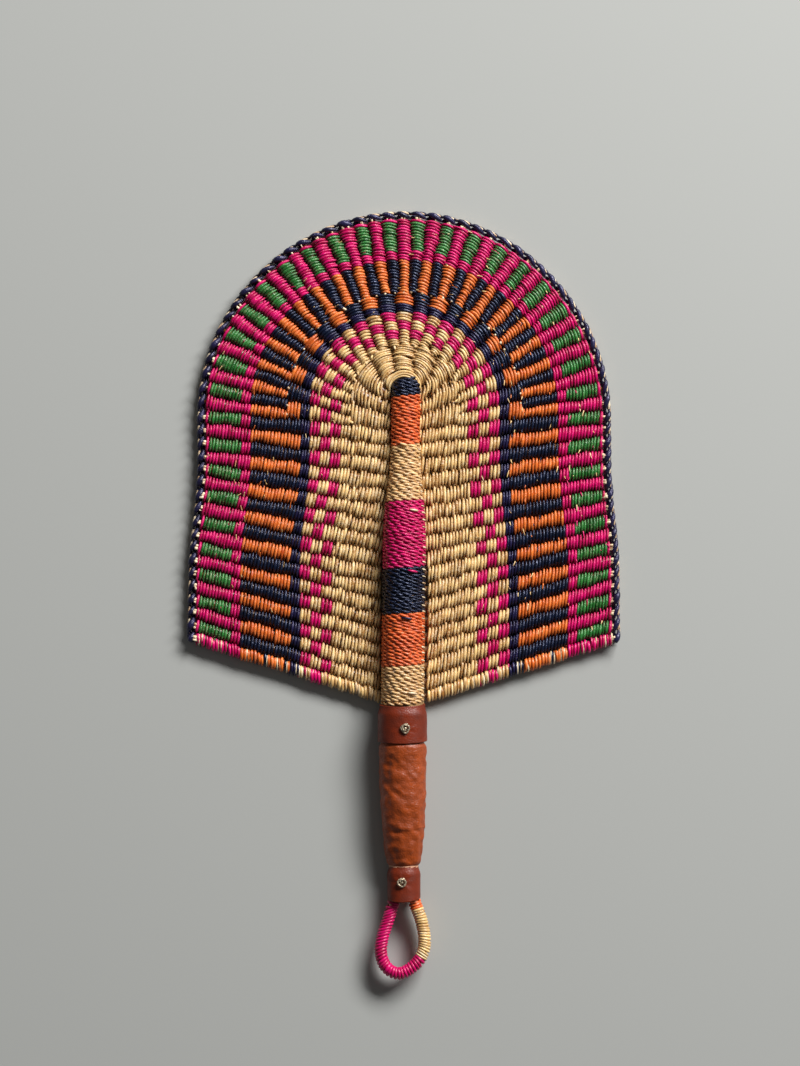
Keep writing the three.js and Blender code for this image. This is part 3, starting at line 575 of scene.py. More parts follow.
def twined_strand(blade, radius, width, phase, twist, dice):
    """A strand that lies in front of every second row and behind the others."""
    crown_rows = blade.crown_rows(radius)
    is_field = radius < blade.field
    first = -twist.overrun
    last = last_row(crown_rows) + twist.overrun
    rows = np.linspace(first, last, round((last - first) * STEPS_PER_ROW) + 1)
    stagger = twist.stagger * (FIELD_STAGGER if is_field else 1.0)
    turn = np.pi * (rows + phase + per_row(dice, rows, stagger))
    front = np.cos(turn)
    full = np.abs(front)
    course = blade.wandered(radius, rows, crown_rows) - twist.sway * np.sin(turn)
    course += per_row(dice, rows, COURSE_STRAY)
    over_crown = np.sin(np.pi * np.clip((rows - SIDE_ROWS - 0.5) / crown_rows, 0.0, 1.0))
    course += blade.sizes.crown_bow * over_crown * (full - MEAN_FULL)
    x, y = blade.row_points(course, rows, crown_rows)
    z = twist.middle + twist.lift * np.sign(front) * full**twist.dive
    z += per_row(dice, rows, HEIGHT_STRAY)
    half = width / 2 * (twist.narrow + (1 - twist.narrow) * full**WIDTH_POWER)
    half *= 1 + per_row(dice, rows, WIDTH_STRAY)
    if is_field:
        half *= 1 - over_crown * (CROWN_GAP + blade.sizes.tip_push / blade.sizes.field_width)
    tone = dice.normal(0.0, STRAND_TONE) + per_row(dice, rows, ROW_TONE)
    # Painted shade: the tone drops where the strand dives between others.
    tone -= PAINTED_CREVICE_SHADE * (1 - full)
    return np.column_stack((x, y, z, half, tone))


# How often the second strand of a course shows in front in a lower edge, how often a pale straw lies between
# the strands, and the pale straw's share of their width.
FOOT_SWAP = 0.1
FOOT_PALE = 0.4
FOOT_PALE_WIDTH = 0.65

# The strand in front in a lower edge and the deeper one beside it: how far each rises and falls as a share of
# the wrap above, and its width as a share of the spacing of the courses.
FOOT_LIFT = (1.0, 0.72)
FOOT_FULLNESS = (1.02, 0.55)

# Unevenness of the wraps: how much their lean, reach and width differ, as shares, and how far they slip.
FOOT_LEAN = 0.22
FOOT_REACH_STRAY = 0.06
FOOT_WIDTH_STRAY = 0.14
FOOT_SLIP = 0.35 * MM


def foot_wrap(blade, radius, width, side, depth, dice):
    """The end of a strand where it goes round the stake in a lower edge.

    A strand of depth 0 shows in front, and one of depth 1 lies deeper beside it.
    """
    share, height, fullness = np.array(FOOT_WRAP).T
    height = WEAVE_TWIST.middle + (height - WEAVE_TWIST.middle) * FOOT_LIFT[depth]
    lean = dice.normal(0.0, FOOT_LEAN) * (1 - share)
    course = radius + width * (depth / 2 + lean)
    reach = blade.sizes.foot_binding * (1 + dice.normal(0.0, FOOT_REACH_STRAY))
    x, y = blade.points(course, share * reach)
    half = width / 2 * FOOT_FULLNESS[depth] * fullness * (1 + dice.normal(0.0, FOOT_WIDTH_STRAY))
    tone = np.full(len(share), dice.normal(0.0, STRAW_TONE))
    return np.column_stack((side * -x, y + dice.normal(0.0, FOOT_SLIP), height, half, tone))


# Rings in the band of checks.
CHECK_RINGS = 3


def bands(blade):
    """Each ring of the weave: its two straws, its inner and outer radius and its courses.

    The first straw lies in front on even rows, and the second on odd rows.
    """
    sizes = blade.sizes
    check = sizes.check_width / CHECK_RINGS
    green_pitch = sizes.pink_green_width / (
        sizes.pink_line_courses + sizes.green_courses + sizes.pink_edge_courses
    )
    green = blade.orange_navy + green_pitch * sizes.pink_line_courses
    pink_edge = green + green_pitch * sizes.green_courses
    return (
        ("natural_field", "natural", "natural", blade.inner, blade.field, sizes.field_courses),
        ("check_band", "natural", "pink", blade.field, blade.field + check, sizes.check_courses),
        ("check_band", "pink", "natural", blade.field + check, blade.check - check, sizes.check_courses),
        ("check_band", "natural", "pink", blade.check - check, blade.check, sizes.check_courses),
        ("purple_band", "purple", "purple", blade.check, blade.purple, sizes.purple_courses),
        ("orange_navy_band", "orange", "navy", blade.purple, blade.orange_navy, sizes.orange_navy_courses),
        ("pink_green_band", "pink", "pink", blade.orange_navy, green, sizes.pink_line_courses),
        ("pink_green_band", "pink", "green", green, pink_edge, sizes.green_courses),
        ("pink_green_band", "pink", "pink", pink_edge, blade.pink_green, sizes.pink_edge_courses),
    )


def add_node(tree, kind, **settings):
    """A new node with its settings."""
    node = tree.nodes.new(kind)
    for name, value in settings.items():
        setattr(node, name, value)
    return node


def feed(tree, socket, value):
    """Links an input to another socket, or sets its value."""
    if isinstance(value, bpy.types.NodeSocket):
        tree.links.new(value, socket)
    else:
        socket.default_value = value


def map_range(tree, value, low, high, to_low, to_high):
    """A node that moves a value from one range to another."""
    node = add_node(tree, "ShaderNodeMapRange")
    inputs = {"Value": value, "From Min": low, "From Max": high, "To Min": to_low, "To Max": to_high}
    for name, given in inputs.items():
        feed(tree, node.inputs[name], given)
    return node.outputs["Result"]


def math_node(tree, operation, first, second):
    """A node that works on two values."""
    node = add_node(tree, "ShaderNodeMath", operation=operation)
    for socket, value in zip(node.inputs, (first, second)):
        feed(tree, socket, value)
    return node.outputs["Value"]


# Places of the colour sockets on a mix node, whose sockets for other kinds of value have the same names.
MIX_FIRST = 6
MIX_SECOND = 7
MIX_RESULT = 2


def mix_colour(tree, share, first, second):
    """A node that mixes two colours."""
    node = add_node(tree, "ShaderNodeMix", data_type="RGBA")
    for place, value in (("Factor", share), (MIX_FIRST, first), (MIX_SECOND, second)):
        feed(tree, node.inputs[place], value)
    return node.outputs[MIX_RESULT]


def noise_node(tree, vector, scale, detail):
    """A noise pattern."""
    node = add_node(tree, "ShaderNodeTexNoise")
    tree.links.new(vector, node.inputs["Vector"])
    node.inputs["Scale"].default_value = scale
    node.inputs["Detail"].default_value = detail
    return node.outputs["Fac"]


def new_group(name, inputs, outputs):
    """An empty node group with its sockets, and its input and output nodes."""
    tree = bpy.data.node_groups.new(name, "ShaderNodeTree")
    for socket_name, kind in inputs:
        tree.interface.new_socket(socket_name, in_out="INPUT", socket_type=kind)
    for socket_name, kind in outputs:
        tree.interface.new_socket(socket_name, in_out="OUTPUT", socket_type=kind)
    return tree, add_node(tree, "NodeGroupInput"), add_node(tree, "NodeGroupOutput")


SURFACE_OUTPUTS = (
    ("Colour", "NodeSocketColor"),
    ("Roughness", "NodeSocketFloat"),
    ("Height", "NodeSocketFloat"),
)

# Patterns in the surfaces: scale and detail.
STRAW_STREAKS = (1.7, 4.0)
STRAW_PATCHES = (0.45, 2.0)
LEATHER_BLOTCHES = (150.0, 4.0)
LEATHER_PORES = (1600.0, 3.0)
IRON_PITS = (1300.0, 5.0)

# Ranges for map_range: two values of a pattern, and what they become.
STREAK_DEEP = (0.34, 0.66, 0.6, -0.1)
# The tone carries painted shade where a straw dives, and maps to a share of the streak and shade colour.
TONE_DARK_AND_SHADE = (-1.6, 1.6, 0.5, -0.4)
PALE_AND_HIGHLIGHT_PLACES = (0.29, 0.40, 0.0, 1.0)
STRAW_ROUGHNESS = (0.3, 0.7, 0.42, 0.26)
CREASE_EDGE = (0.0, 0.16, 0.0, 1.0)
CREASE_DARK = (0.0, 1.0, 0.16, 0.0)
BLOTCH_LIGHT = (0.36, 0.66, 0.0, 1.0)
LEATHER_ROUGHNESS = (0.3, 0.7, 0.56, 0.36)
IRON_RUBBED = (0.4, 0.62, 0.0, 1.0)
IRON_ROUGHNESS = (0.3, 0.7, 0.7, 0.38)

# How far the pattern shifts along a straw with its tone, and the share of the pores in the leather's height.
TONE_SHIFT = 7.0
PORE_HEIGHT = 0.6


def straw_fibres():
    """Straw: fibres along each strand, strands of different tone, painted shade where strands dive, and paler
    streaks in the dye that on undyed straw also stand in for painted highlights.
    """
    inputs = (
        ("Colour", "NodeSocketColor"),
        ("Deep colour", "NodeSocketColor"),
        ("Pale colour", "NodeSocketColor"),
        ("Pale share", "NodeSocketFloat"),
    )
    tree, given, result = new_group("Straw fibres", inputs, SURFACE_OUTPUTS)
    fibre = add_node(tree, "ShaderNodeAttribute", attribute_name="fibre").outputs["Vector"]
    tone = add_node(tree, "ShaderNodeAttribute", attribute_name="tone").outputs["Fac"]
    shift = add_node(tree, "ShaderNodeCombineXYZ")
    tree.links.new(math_node(tree, "MULTIPLY", tone, TONE_SHIFT), shift.inputs["X"])
    place = add_node(tree, "ShaderNodeVectorMath", operation="ADD")
    tree.links.new(fibre, place.inputs[0])
    tree.links.new(shift.outputs["Vector"], place.inputs[1])
    streaks = noise_node(tree, place.outputs["Vector"], *STRAW_STREAKS)
    patches = noise_node(tree, place.outputs["Vector"], *STRAW_PATCHES)
    # Share of the darker colour: from dark streaks, and from the tone with its painted shade.
    deep = map_range(tree, streaks, *STREAK_DEEP)
    deep = math_node(tree, "ADD", deep, map_range(tree, tone, *TONE_DARK_AND_SHADE))
    streaked_and_shaded = mix_colour(tree, deep, given.outputs["Colour"], given.outputs["Deep colour"])
    # Paler streaks in the dye. On undyed straw they also stand in for painted highlights.
    pale = map_range(tree, math_node(tree, "MULTIPLY", streaks, patches), *PALE_AND_HIGHLIGHT_PLACES)
    pale = math_node(tree, "MULTIPLY", pale, given.outputs["Pale share"])
    tree.links.new(mix_colour(tree, pale, streaked_and_shaded, given.outputs["Pale colour"]), result.inputs["Colour"])
    tree.links.new(map_range(tree, streaks, *STRAW_ROUGHNESS), result.inputs["Roughness"])
    tree.links.new(streaks, result.inputs["Height"])
    return tree


def leather_grain():
    """Leather: a net of fine creases, darker hollows, and rubbed places."""
    inputs = (
        ("Colour", "NodeSocketColor"),
        ("Dark colour", "NodeSocketColor"),
        ("Grain scale", "NodeSocketFloat"),
        ("Blotches", "NodeSocketFloat"),
    )
    tree, given, result = new_group("Leather grain", inputs, SURFACE_OUTPUTS)
    place = add_node(tree, "ShaderNodeTexCoord").outputs["Object"]
    cells = add_node(tree, "ShaderNodeTexVoronoi", feature="DISTANCE_TO_EDGE")
    tree.links.new(place, cells.inputs["Vector"])
    tree.links.new(given.outputs["Grain scale"], cells.inputs["Scale"])
    crease = map_range(tree, cells.outputs["Distance"], *CREASE_EDGE)
    blotch = noise_node(tree, place, *LEATHER_BLOTCHES)
    pores = noise_node(tree, place, *LEATHER_PORES)
    dark = math_node(tree, "SUBTRACT", 1.0, map_range(tree, blotch, *BLOTCH_LIGHT))
    dark = math_node(tree, "MULTIPLY", dark, given.outputs["Blotches"])
    dark = math_node(tree, "ADD", dark, map_range(tree, crease, *CREASE_DARK))
    toned = mix_colour(tree, dark, given.outputs["Colour"], given.outputs["Dark colour"])
    tree.links.new(toned, result.inputs["Colour"])
    tree.links.new(map_range(tree, blotch, *LEATHER_ROUGHNESS), result.inputs["Roughness"])
    height = math_node(tree, "ADD", crease, math_node(tree, "MULTIPLY", pores, PORE_HEIGHT))
    tree.links.new(height, result.inputs["Height"])
    return tree


def worn_metal():
    """Iron: dark pits and bright rubbed places."""
    inputs = (("Colour", "NodeSocketColor"), ("Dark colour", "NodeSocketColor"))
    tree, given, result = new_group("Worn metal", inputs, SURFACE_OUTPUTS)
    place = add_node(tree, "ShaderNodeTexCoord").outputs["Object"]
    pits = noise_node(tree, place, *IRON_PITS)
    rubbed = map_range(tree, pits, *IRON_RUBBED)
    toned = mix_colour(tree, rubbed, given.outputs["Dark colour"], given.outputs["Colour"])
    tree.links.new(toned, result.inputs["Colour"])
    tree.links.new(map_range(tree, pits, *IRON_ROUGHNESS), result.inputs["Roughness"])
    tree.links.new(pits, result.inputs["Height"])
    return tree


MATERIAL_PREFIX = "fan_"


def finish_material(name, group, values, bump, shader_values):
    """Makes a material whose colour, roughness and bump come from a shared group."""
    finish = bpy.data.materials.new(MATERIAL_PREFIX + name)
    finish.use_nodes = True
    tree = finish.node_tree
    shader = tree.nodes["Principled BSDF"]
    surface = add_node(tree, "ShaderNodeGroup", node_tree=group)
    for socket, value in values.items():
        surface.inputs[socket].default_value = value
    relief = add_node(tree, "ShaderNodeBump")
    relief.inputs["Distance"].default_value = bump
    tree.links.new(surface.outputs["Height"], relief.inputs["Height"])
    tree.links.new(surface.outputs["Colour"], shader.inputs["Base Color"])
    tree.links.new(surface.outputs["Roughness"], shader.inputs["Roughness"])
    tree.links.new(relief.outputs["Normal"], shader.inputs["Normal"])
    for socket, value in shader_values.items():
        shader.inputs[socket].default_value = value


# The darker colour of a dyed straw for its dark streaks and for painted shade where it lies between others:
# the share of the colour kept, and a power that makes it fuller.
STREAK_AND_SHADE_SHARE = 0.5
STREAK_AND_SHADE_POWER = 1.5


def streak_and_shade_colour(colour_value):
    """The darker and fuller colour of a straw in its dark streaks and in the painted shade between others."""
    return (*(STREAK_AND_SHADE_SHARE * channel**STREAK_AND_SHADE_POWER for channel in colour_value), 1.0)


def glint(colour_value, share):
    """The colour of the shine on a straw, a share of the way from white to the straw's own colour."""
    brightest = max(colour_value)
    return (*(1 - share + share * channel / brightest for channel in colour_value), 1.0)


def rgba(colour_value, share=1.0):
    """A colour with full cover, darkened to a share."""
    return (*(channel * share for channel in colour_value), 1.0)


NATURAL_SLOT = "natural_straw"

# Straws: the record's slot, how much of the straw has paler streaks, which on undyed straw also stand in for
# painted highlights, and how far its shine takes on its colour.
STRAWS = {
    # Undyed straw's large pale share is partly painted highlight.
    "natural": (NATURAL_SLOT, 0.8, 0.0),
    "pith": (NATURAL_SLOT, 0.2, 0.0),
    # The stakes are darkened as painted shade between the strands.
    "stake": (NATURAL_SLOT, 0.0, 0.0),
    "pink": ("pink_straw", 0.02, 0.3),
    "green": ("green_straw", 0.22, 0.15),
    "orange": ("orange_straw", 0.15, 0.3),
    "navy": ("navy_straw", 0.0, 0.4),
    "purple": ("purple_straw", 0.0, 0.3),
    "binding_natural": (NATURAL_SLOT, 0.8, 0.0),
    "binding_orange": ("orange_straw", 0.2, 0.4),
}

# Bump and gloss of all straws.
STRAW_BUMP = 0.25 * MM
STRAW_GLOSS = 0.75

# Leathers and wood: the scale of the creases, the share of dark blotches, the share of light left in them,
# the bump and the gloss.
GRAINS = {
    "dark_leather": (700.0, 0.5, 0.42, 0.05 * MM, 0.42),
    "grip_leather": (520.0, 0.3, 0.42, 0.08 * MM, 0.55),
    "raw_leather": (900.0, 0.3, 0.42, 0.1 * MM, 0.3),
    "wood": (500.0, 0.6, 0.6, 0.1 * MM, 0.3),
}

# Iron: the share of light left in its pits, the bump, and how metallic it is.
IRON_DARK = 0.12
IRON_BUMP = 0.1 * MM
IRON_METALLIC = 0.6


def make_materials(colours):
    """Makes all materials of the fan."""
    fibres = straw_fibres()
    for straw, (slot, pale_and_highlight_share, tint_share) in STRAWS.items():
        own = getattr(colours, straw)
        values = {
            "Colour": rgba(own),
            "Deep colour": rgba(colours.natural_streak_and_shade) if slot == NATURAL_SLOT else streak_and_shade_colour(own),
            "Pale colour": rgba(colours.pith),
            "Pale share": pale_and_highlight_share,
        }
        shine = {"Specular IOR Level": STRAW_GLOSS, "Specular Tint": glint(own, tint_share)}
        finish_material(straw, fibres, values, STRAW_BUMP, shine)
    grain = leather_grain()
    for name, (scale, blotches, dark_share, bump, gloss) in GRAINS.items():
        own = getattr(colours, name)
        values = {
            "Colour": rgba(own),
            "Dark colour": rgba(own, dark_share),
            "Grain scale": scale,
            "Blotches": blotches,
        }
        finish_material(name, grain, values, bump, {"Specular IOR Level": gloss})
    values = {"Colour": rgba(colours.iron), "Dark colour": rgba(colours.iron, IRON_DARK)}
    finish_material("iron", worn_metal(), values, IRON_BUMP, {"Metallic": IRON_METALLIC})


def material(name):
    """A material of the fan. All are made when the first one is asked for."""
    if MATERIAL_PREFIX + name not in bpy.data.materials:
        make_materials(bpy.context.scene.fan_colours)
    return bpy.data.materials[MATERIAL_PREFIX + name]


def settle(piece, finish, slot, *nodes, body="fan"):
    """Gives a piece its material, the solids that it stands for, and its body. Its slot is not used."""
    piece.data.materials.append(material(finish))
    if nodes:
        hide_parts(*nodes)
    if body:
        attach(piece, body)


class FAN_OT_weave(bpy.types.Operator):
    """Twines the coloured straws of the blade and wraps their ends round the lower edges"""

    bl_idname = "fan.weave"
    bl_label = "Weave"

    def execute(self, context):
        blade = Blade(context.scene)
        dice = np.random.default_rng(WEAVE_SEED)
        woven = {}
        wraps = {}
        for node, even_straw, odd_straw, inner, outer, courses in bands(blade):
            pitch = (outer - inner) / courses
            for radius in inner + (np.arange(courses) + 0.5) * pitch:
                for phase, straw in enumerate((even_straw, odd_straw)):
                    strand = twined_strand(blade, radius, STRAND_FULLNESS * pitch, phase, WEAVE_TWIST, dice)
                    woven.setdefault((node, straw), []).append(strand)
                for side in (-1, 1):
                    ends = [even_straw, odd_straw]
                    if dice.random() < FOOT_SWAP:
                        ends.reverse()
                    for depth, straw in enumerate(ends):
                        wrap = foot_wrap(blade, radius, pitch, side, depth, dice)
                        wraps.setdefault(straw, []).append(wrap)
                    if dice.random() < FOOT_PALE:
                        wrap = foot_wrap(blade, radius + pitch / 2, FOOT_PALE_WIDTH * pitch, side, 0, dice)
                        wraps.setdefault("pith", []).append(wrap)
        for (node, straw), lines in woven.items():
            piece = strands(f"{node}_{straw}", lines, height=STRAND_HEIGHT, sides=FINE_SIDES)
            settle(piece, straw, STRAWS[straw][0], node)
        for straw, lines in wraps.items():
            piece = strands(f"foot_binding_{straw}", lines)
            settle(piece, straw, STRAWS[straw][0], "left_foot_binding", "right_foot_binding")
        return {"FINISHED"}


# Stakes: how many places make one beside the stick and one over the crown, the half width as a share of their
# spacing, the height as a share of the width, and the place and half width of the one in each lower edge.
SIDE_STAKE_PLACES = 12
CROWN_STAKE_PLACES = 8
STAKE_FULLNESS = 0.34
STAKE_HEIGHT = 0.42
FOOT_STAKE_SHARE = 0.55
FOOT_STAKE_HALF = 1.5 * MM

# The outer end of a stake: how far it reaches past the pink and green, how far it rises, and its half width.
STAKE_END_REACH = 1.3 * MM
STAKE_END_RISE = 1.5 * MM
STAKE_END_HALF = 1.0 * MM

# What a strand's row is multiplied by to mirror it to the other side of the stick.
MIRROR = np.array((-1.0, 1.0, 1.0, 1.0, 1.0))


def stake_line(x, y, radius, half, blade, end):
    """A stake in the middle of the weave, whose end comes up to the front beside the edge twine."""
    rise = smooth_share((radius - blade.orange_navy) / (end - blade.orange_navy))
    z = WEAVE_TWIST.middle + STAKE_END_RISE * rise
    return np.column_stack((x, y, z, half, np.zeros(len(x))))


def stake_lines(blade):
    """Stakes across the blade under the stick, and stakes that fan out over the crown."""
    end = blade.pink_green + STAKE_END_REACH
    lines = []
    for row in range(SIDE_ROWS + 1):
        radius = np.linspace(end, blade.inner, SIDE_STAKE_PLACES)
        if row == 0:
            along = np.full(SIDE_STAKE_PLACES, FOOT_STAKE_SHARE * blade.sizes.foot_binding)
            half = np.full(SIDE_STAKE_PLACES, FOOT_STAKE_HALF)
        else:
            along = blade.along(np.full(SIDE_STAKE_PLACES, float(row)), radius, OUTER_CROWN_ROWS)
            half = STAKE_FULLNESS * blade.row_pitch(radius)
        half[0] = STAKE_END_HALF
        left = stake_line(*blade.points(radius, along), radius, half, blade, end)
        lines.append(np.vstack((left, left[::-1] * MIRROR)))
    levels = (
        (INNER_CROWN_ROWS, blade.inner, blade.sizes.inner_reach),
        (MIDDLE_CROWN_ROWS, blade.sizes.inner_reach, blade.last_stakes),
        (OUTER_CROWN_ROWS, blade.last_stakes, end),
    )
    for crown_rows, inner, outer in levels:
        radius = np.linspace(outer, inner, CROWN_STAKE_PLACES)
        start = blade.along(np.full(CROWN_STAKE_PLACES, SIDE_ROWS + 0.5), radius, crown_rows)
        half = STAKE_FULLNESS * (blade.length(radius) - 2 * start) / crown_rows
        if crown_rows == OUTER_CROWN_ROWS:
            half[0] = STAKE_END_HALF
        for row in range(SIDE_ROWS + 1, SIDE_ROWS + 1 + crown_rows):
            x, y = blade.row_points(radius, np.full(CROWN_STAKE_PLACES, float(row)), crown_rows)
            lines.append(stake_line(x, y, radius, half, blade, end))
    return lines


class FAN_OT_stakes(bpy.types.Operator):
    """Lays the stakes that the straws are twined round"""

    bl_idname = "fan.stakes"
    bl_label = "Stakes"

    def execute(self, context):
        rods = strands("stake_rods", stake_lines(Blade(context.scene)), height=STAKE_HEIGHT)
        # The stakes' dark material is painted shade in the gaps between the strands.
        settle(rods, "stake", NATURAL_SLOT, "stakes")
        return {"FINISHED"}


# Straw ends have this many places, and narrow from the first share of their half width to the second. Pairs
# of numbers below that a random number is drawn from are its mean and its spread.
TIP_PLACES = 5
TIP_TAPER = (1.1, 0.85)

# Cut stake ends beside the edge twine: where the ends of one stake lie, in rows from it, and how far they
# stray. Then how far outside the pink and green an end begins and stops, its heights, and its half width.
EDGE_TIP_SPOTS = np.array((-0.11, 0.0, 0.11))
EDGE_TIP_STRAY = 0.03
EDGE_TIP_START = -2.1 * MM
EDGE_TIP_STOP = (1.5 * MM, 0.4 * MM)
EDGE_TIP_LOW = 3.9 * MM
EDGE_TIP_HIGH = (5.7 * MM, 0.25 * MM)
EDGE_TIP_HALF = (0.86 * MM, 0.2 * MM)
LEAST_TIP_HALF = 0.4 * MM

# Share of the cut ends that stay hidden behind the edge twine over the crown, and the size of the others.
CROWN_TIPS_HIDDEN = 0.45
CROWN_TIP_SIZE = 0.8

# Ends of stakes that join in the crown: how far they turn, in rows, where they begin and stop across the
# courses, their heights, and their half width.
JOIN_TIP_TURN = (0.0, 0.2)
JOIN_TIP_START = 2.2 * MM
JOIN_TIP_STOP = (-0.9 * MM, 0.4 * MM)
JOIN_TIP_LOW = 4.2 * MM
JOIN_TIP_HIGH = (5.5 * MM, 0.2 * MM)
JOIN_TIP_HALF = (0.84 * MM, 0.1 * MM)

# Loose ends: the least and most length in rows, how far they lean out, the height where they begin, the least
# and most height where they stop, the half widths there, and their tone.
LOOSE_LENGTH = (0.2, 0.5)
LOOSE_LEAN = (0.0, 0.8 * MM)
LOOSE_LOW = 5.0 * MM
LOOSE_HIGH = (5.9 * MM, 6.6 * MM)
LOOSE_HALVES = (0.45 * MM, 0.18 * MM)
LOOSE_TONE = (0.5, 0.8)

# How many loose ends each straw has, and how far inside the pink line those of pink straw may lie.
LOOSE_ENDS = {"natural": 170, "pink": 70, "orange": 40, "navy": 70}
LOOSE_PINK_INSET = 1.0 * MM


def drawn(dice, start, stop):
    """Places from a start to a stop that is drawn from a mean and a spread."""
    return np.linspace(start, dice.normal(*stop), TIP_PLACES)


def straw_tip(blade, radius, rows, crown_rows, height, half, dice):
    """A short straw end."""
    x, y = blade.row_points(radius, rows, crown_rows)
    tone = np.full(TIP_PLACES, dice.normal(0.0, STRAW_TONE))
    return np.column_stack((x, y, height, half * np.linspace(*TIP_TAPER, TIP_PLACES), tone))


def edge_tips(blade, dice):
    """Cut ends of the stakes, which come up beside the edge twine, and show less over the crown."""
    tips = []
    last = last_row(OUTER_CROWN_ROWS)
    for row in range(last + 1):
        is_crown = SIDE_ROWS < row < last - SIDE_ROWS
        size = CROWN_TIP_SIZE if is_crown else 1.0
        for spot in row + EDGE_TIP_SPOTS + dice.normal(0.0, EDGE_TIP_STRAY, len(EDGE_TIP_SPOTS)):
            radius = blade.pink_green + drawn(dice, EDGE_TIP_START, EDGE_TIP_STOP)
            height = drawn(dice, EDGE_TIP_LOW, EDGE_TIP_HIGH)
            half = max(LEAST_TIP_HALF, dice.normal(*EDGE_TIP_HALF)) * size
            rows = np.full(TIP_PLACES, spot)
            tip = straw_tip(blade, radius, rows, OUTER_CROWN_ROWS, height, half, dice)
            is_hidden = dice.random() < CROWN_TIPS_HIDDEN
            if not (is_crown and is_hidden):
                tips.append(tip)
    return tips


def join_tips(blade, join, crown_rows, dice):
    """Ends of the stakes that join in the crown at a radius, where they come up between the strands."""
    tips = []
    for row in range(SIDE_ROWS + 1, SIDE_ROWS + 1 + crown_rows):
        rows = row + drawn(dice, 0.0, JOIN_TIP_TURN)
        radius = join + drawn(dice, JOIN_TIP_START, JOIN_TIP_STOP)
        height = drawn(dice, JOIN_TIP_LOW, JOIN_TIP_HIGH)
        half = dice.normal(*JOIN_TIP_HALF)
        tips.append(straw_tip(blade, radius, rows, crown_rows, height, half, dice))
    return tips


def loose_end(blade, radius, dice):
    """A thin straw end that stands out of the weave along its course."""
    crown_rows = blade.crown_rows(radius)
    row = dice.uniform(1.0, last_row(crown_rows) - 1.0)
    rows = row + np.linspace(0.0, dice.uniform(*LOOSE_LENGTH), TIP_PLACES)
    course = radius + drawn(dice, 0.0, LOOSE_LEAN)
    x, y = blade.row_points(course, rows, crown_rows)
    height = np.linspace(LOOSE_LOW, dice.uniform(*LOOSE_HIGH), TIP_PLACES)
    half = np.linspace(*LOOSE_HALVES, TIP_PLACES)
    return np.column_stack((x, y, height, half, np.full(TIP_PLACES, dice.normal(*LOOSE_TONE))))


# The hoop round the tip: how far its straws lie outside the binding, their places, how far their ends may
# turn in below the round, as an angle, how soon they stand clear of the binding, and how sharply they tuck.
HOOP_OFFSETS = (-0.1 * MM, 1.3 * MM, 2.7 * MM)
HOOP_PLACES = 40
HOOP_ENDS = 0.5
HOOP_POWER = 0.7
TUCK_POWER = 6

# Its height, how far it dips where it tucks in and, as a share of the offset, outwards, and its unevenness:
# how far it strays, and how many places a stray lasts. Then its half width, its taper and its tone.
HOOP_HEIGHT = 6.2 * MM
HOOP_DIP = 3.0 * MM
HOOP_SLOPE = 0.2
HOOP_STRAY = 0.15 * MM
HOOP_STRAY_PLACES = 8
HOOP_HALF = (0.62 * MM, 0.08 * MM)
HOOP_TAPER = 0.4
HOOP_TONE = (0.6, 0.6)


def hoop(blade, dice):
    """Smooth straws laid round the tip of the stick."""
    straws = []
    tuck = np.abs(np.linspace(-1.0, 1.0, HOOP_PLACES)) ** TUCK_POWER
    for offset in HOOP_OFFSETS:
        first = np.pi + dice.uniform(0.0, HOOP_ENDS)
        angle = np.linspace(first, -dice.uniform(0.0, HOOP_ENDS), HOOP_PLACES)
        over = np.clip(np.sin(angle), 0.0, 1.0) ** HOOP_POWER
        arch = blade.inner + (blade.stick.tip_rise + offset) * over
        x = arch * np.cos(angle)
        y = blade.arc_centre(blade.inner) + arch * np.sin(angle)
        stray = per_row(dice, np.arange(HOOP_PLACES) / HOOP_STRAY_PLACES, HOOP_STRAY)
        height = HOOP_HEIGHT - HOOP_DIP * tuck - HOOP_SLOPE * offset + stray
        half = dice.normal(*HOOP_HALF) * (1 - HOOP_TAPER * tuck)
        tone = np.full(HOOP_PLACES, dice.normal(*HOOP_TONE))
        straws.append(np.column_stack((x, y, height, half, tone)))
    return straws


class FAN_OT_ends(bpy.types.Operator):
    """Lets cut stake ends and loose straw ends show between the strands, and lays the hoop round the tip"""

    bl_idname = "fan.ends"
    bl_label = "Straw ends"

    def execute(self, context):
        blade = Blade(context.scene)
        dice = np.random.default_rng(ENDS_SEED)
        settle(strands("stake_edge_tips", edge_tips(blade, dice)), "pith", NATURAL_SLOT)
        inner_tips = join_tips(blade, blade.sizes.inner_reach, MIDDLE_CROWN_ROWS, dice)
        outer_tips = join_tips(blade, blade.last_stakes, OUTER_CROWN_ROWS, dice)
        settle(strands("stake_inner_tips", inner_tips), "natural", NATURAL_SLOT)
        settle(strands("stake_outer_tips", outer_tips), "pith", NATURAL_SLOT)
        settle(strands("tip_hoop", hoop(blade, dice)), "natural", NATURAL_SLOT)
        reaches = {
            "natural": (blade.field, blade.pink_green),
            "pink": (blade.orange_navy - LOOSE_PINK_INSET, blade.pink_green),
            "orange": (blade.purple, blade.orange_navy),
            "navy": (blade.check, blade.orange_navy),
        }
        for straw, number in LOOSE_ENDS.items():
            ends = [loose_end(blade, dice.uniform(*reaches[straw]), dice) for _ in range(number)]
            settle(strands(f"loose_ends_{straw}", ends, sides=COARSE_SIDES), straw, STRAWS[straw][0])
        return {"FINISHED"}


# The navy edge and the natural rim outside it: how far their middle lies inside their outer edge and how wide
# a strand is, as shares of the width set for them, and the height as a share of the strand's width.
EDGE_INSET = 0.05
EDGE_FULLNESS = 1.12
EDGE_HEIGHT = 0.85
RIM_INSET = 0.4
RIM_FULLNESS = 0.75
RIM_HEIGHT = 0.9


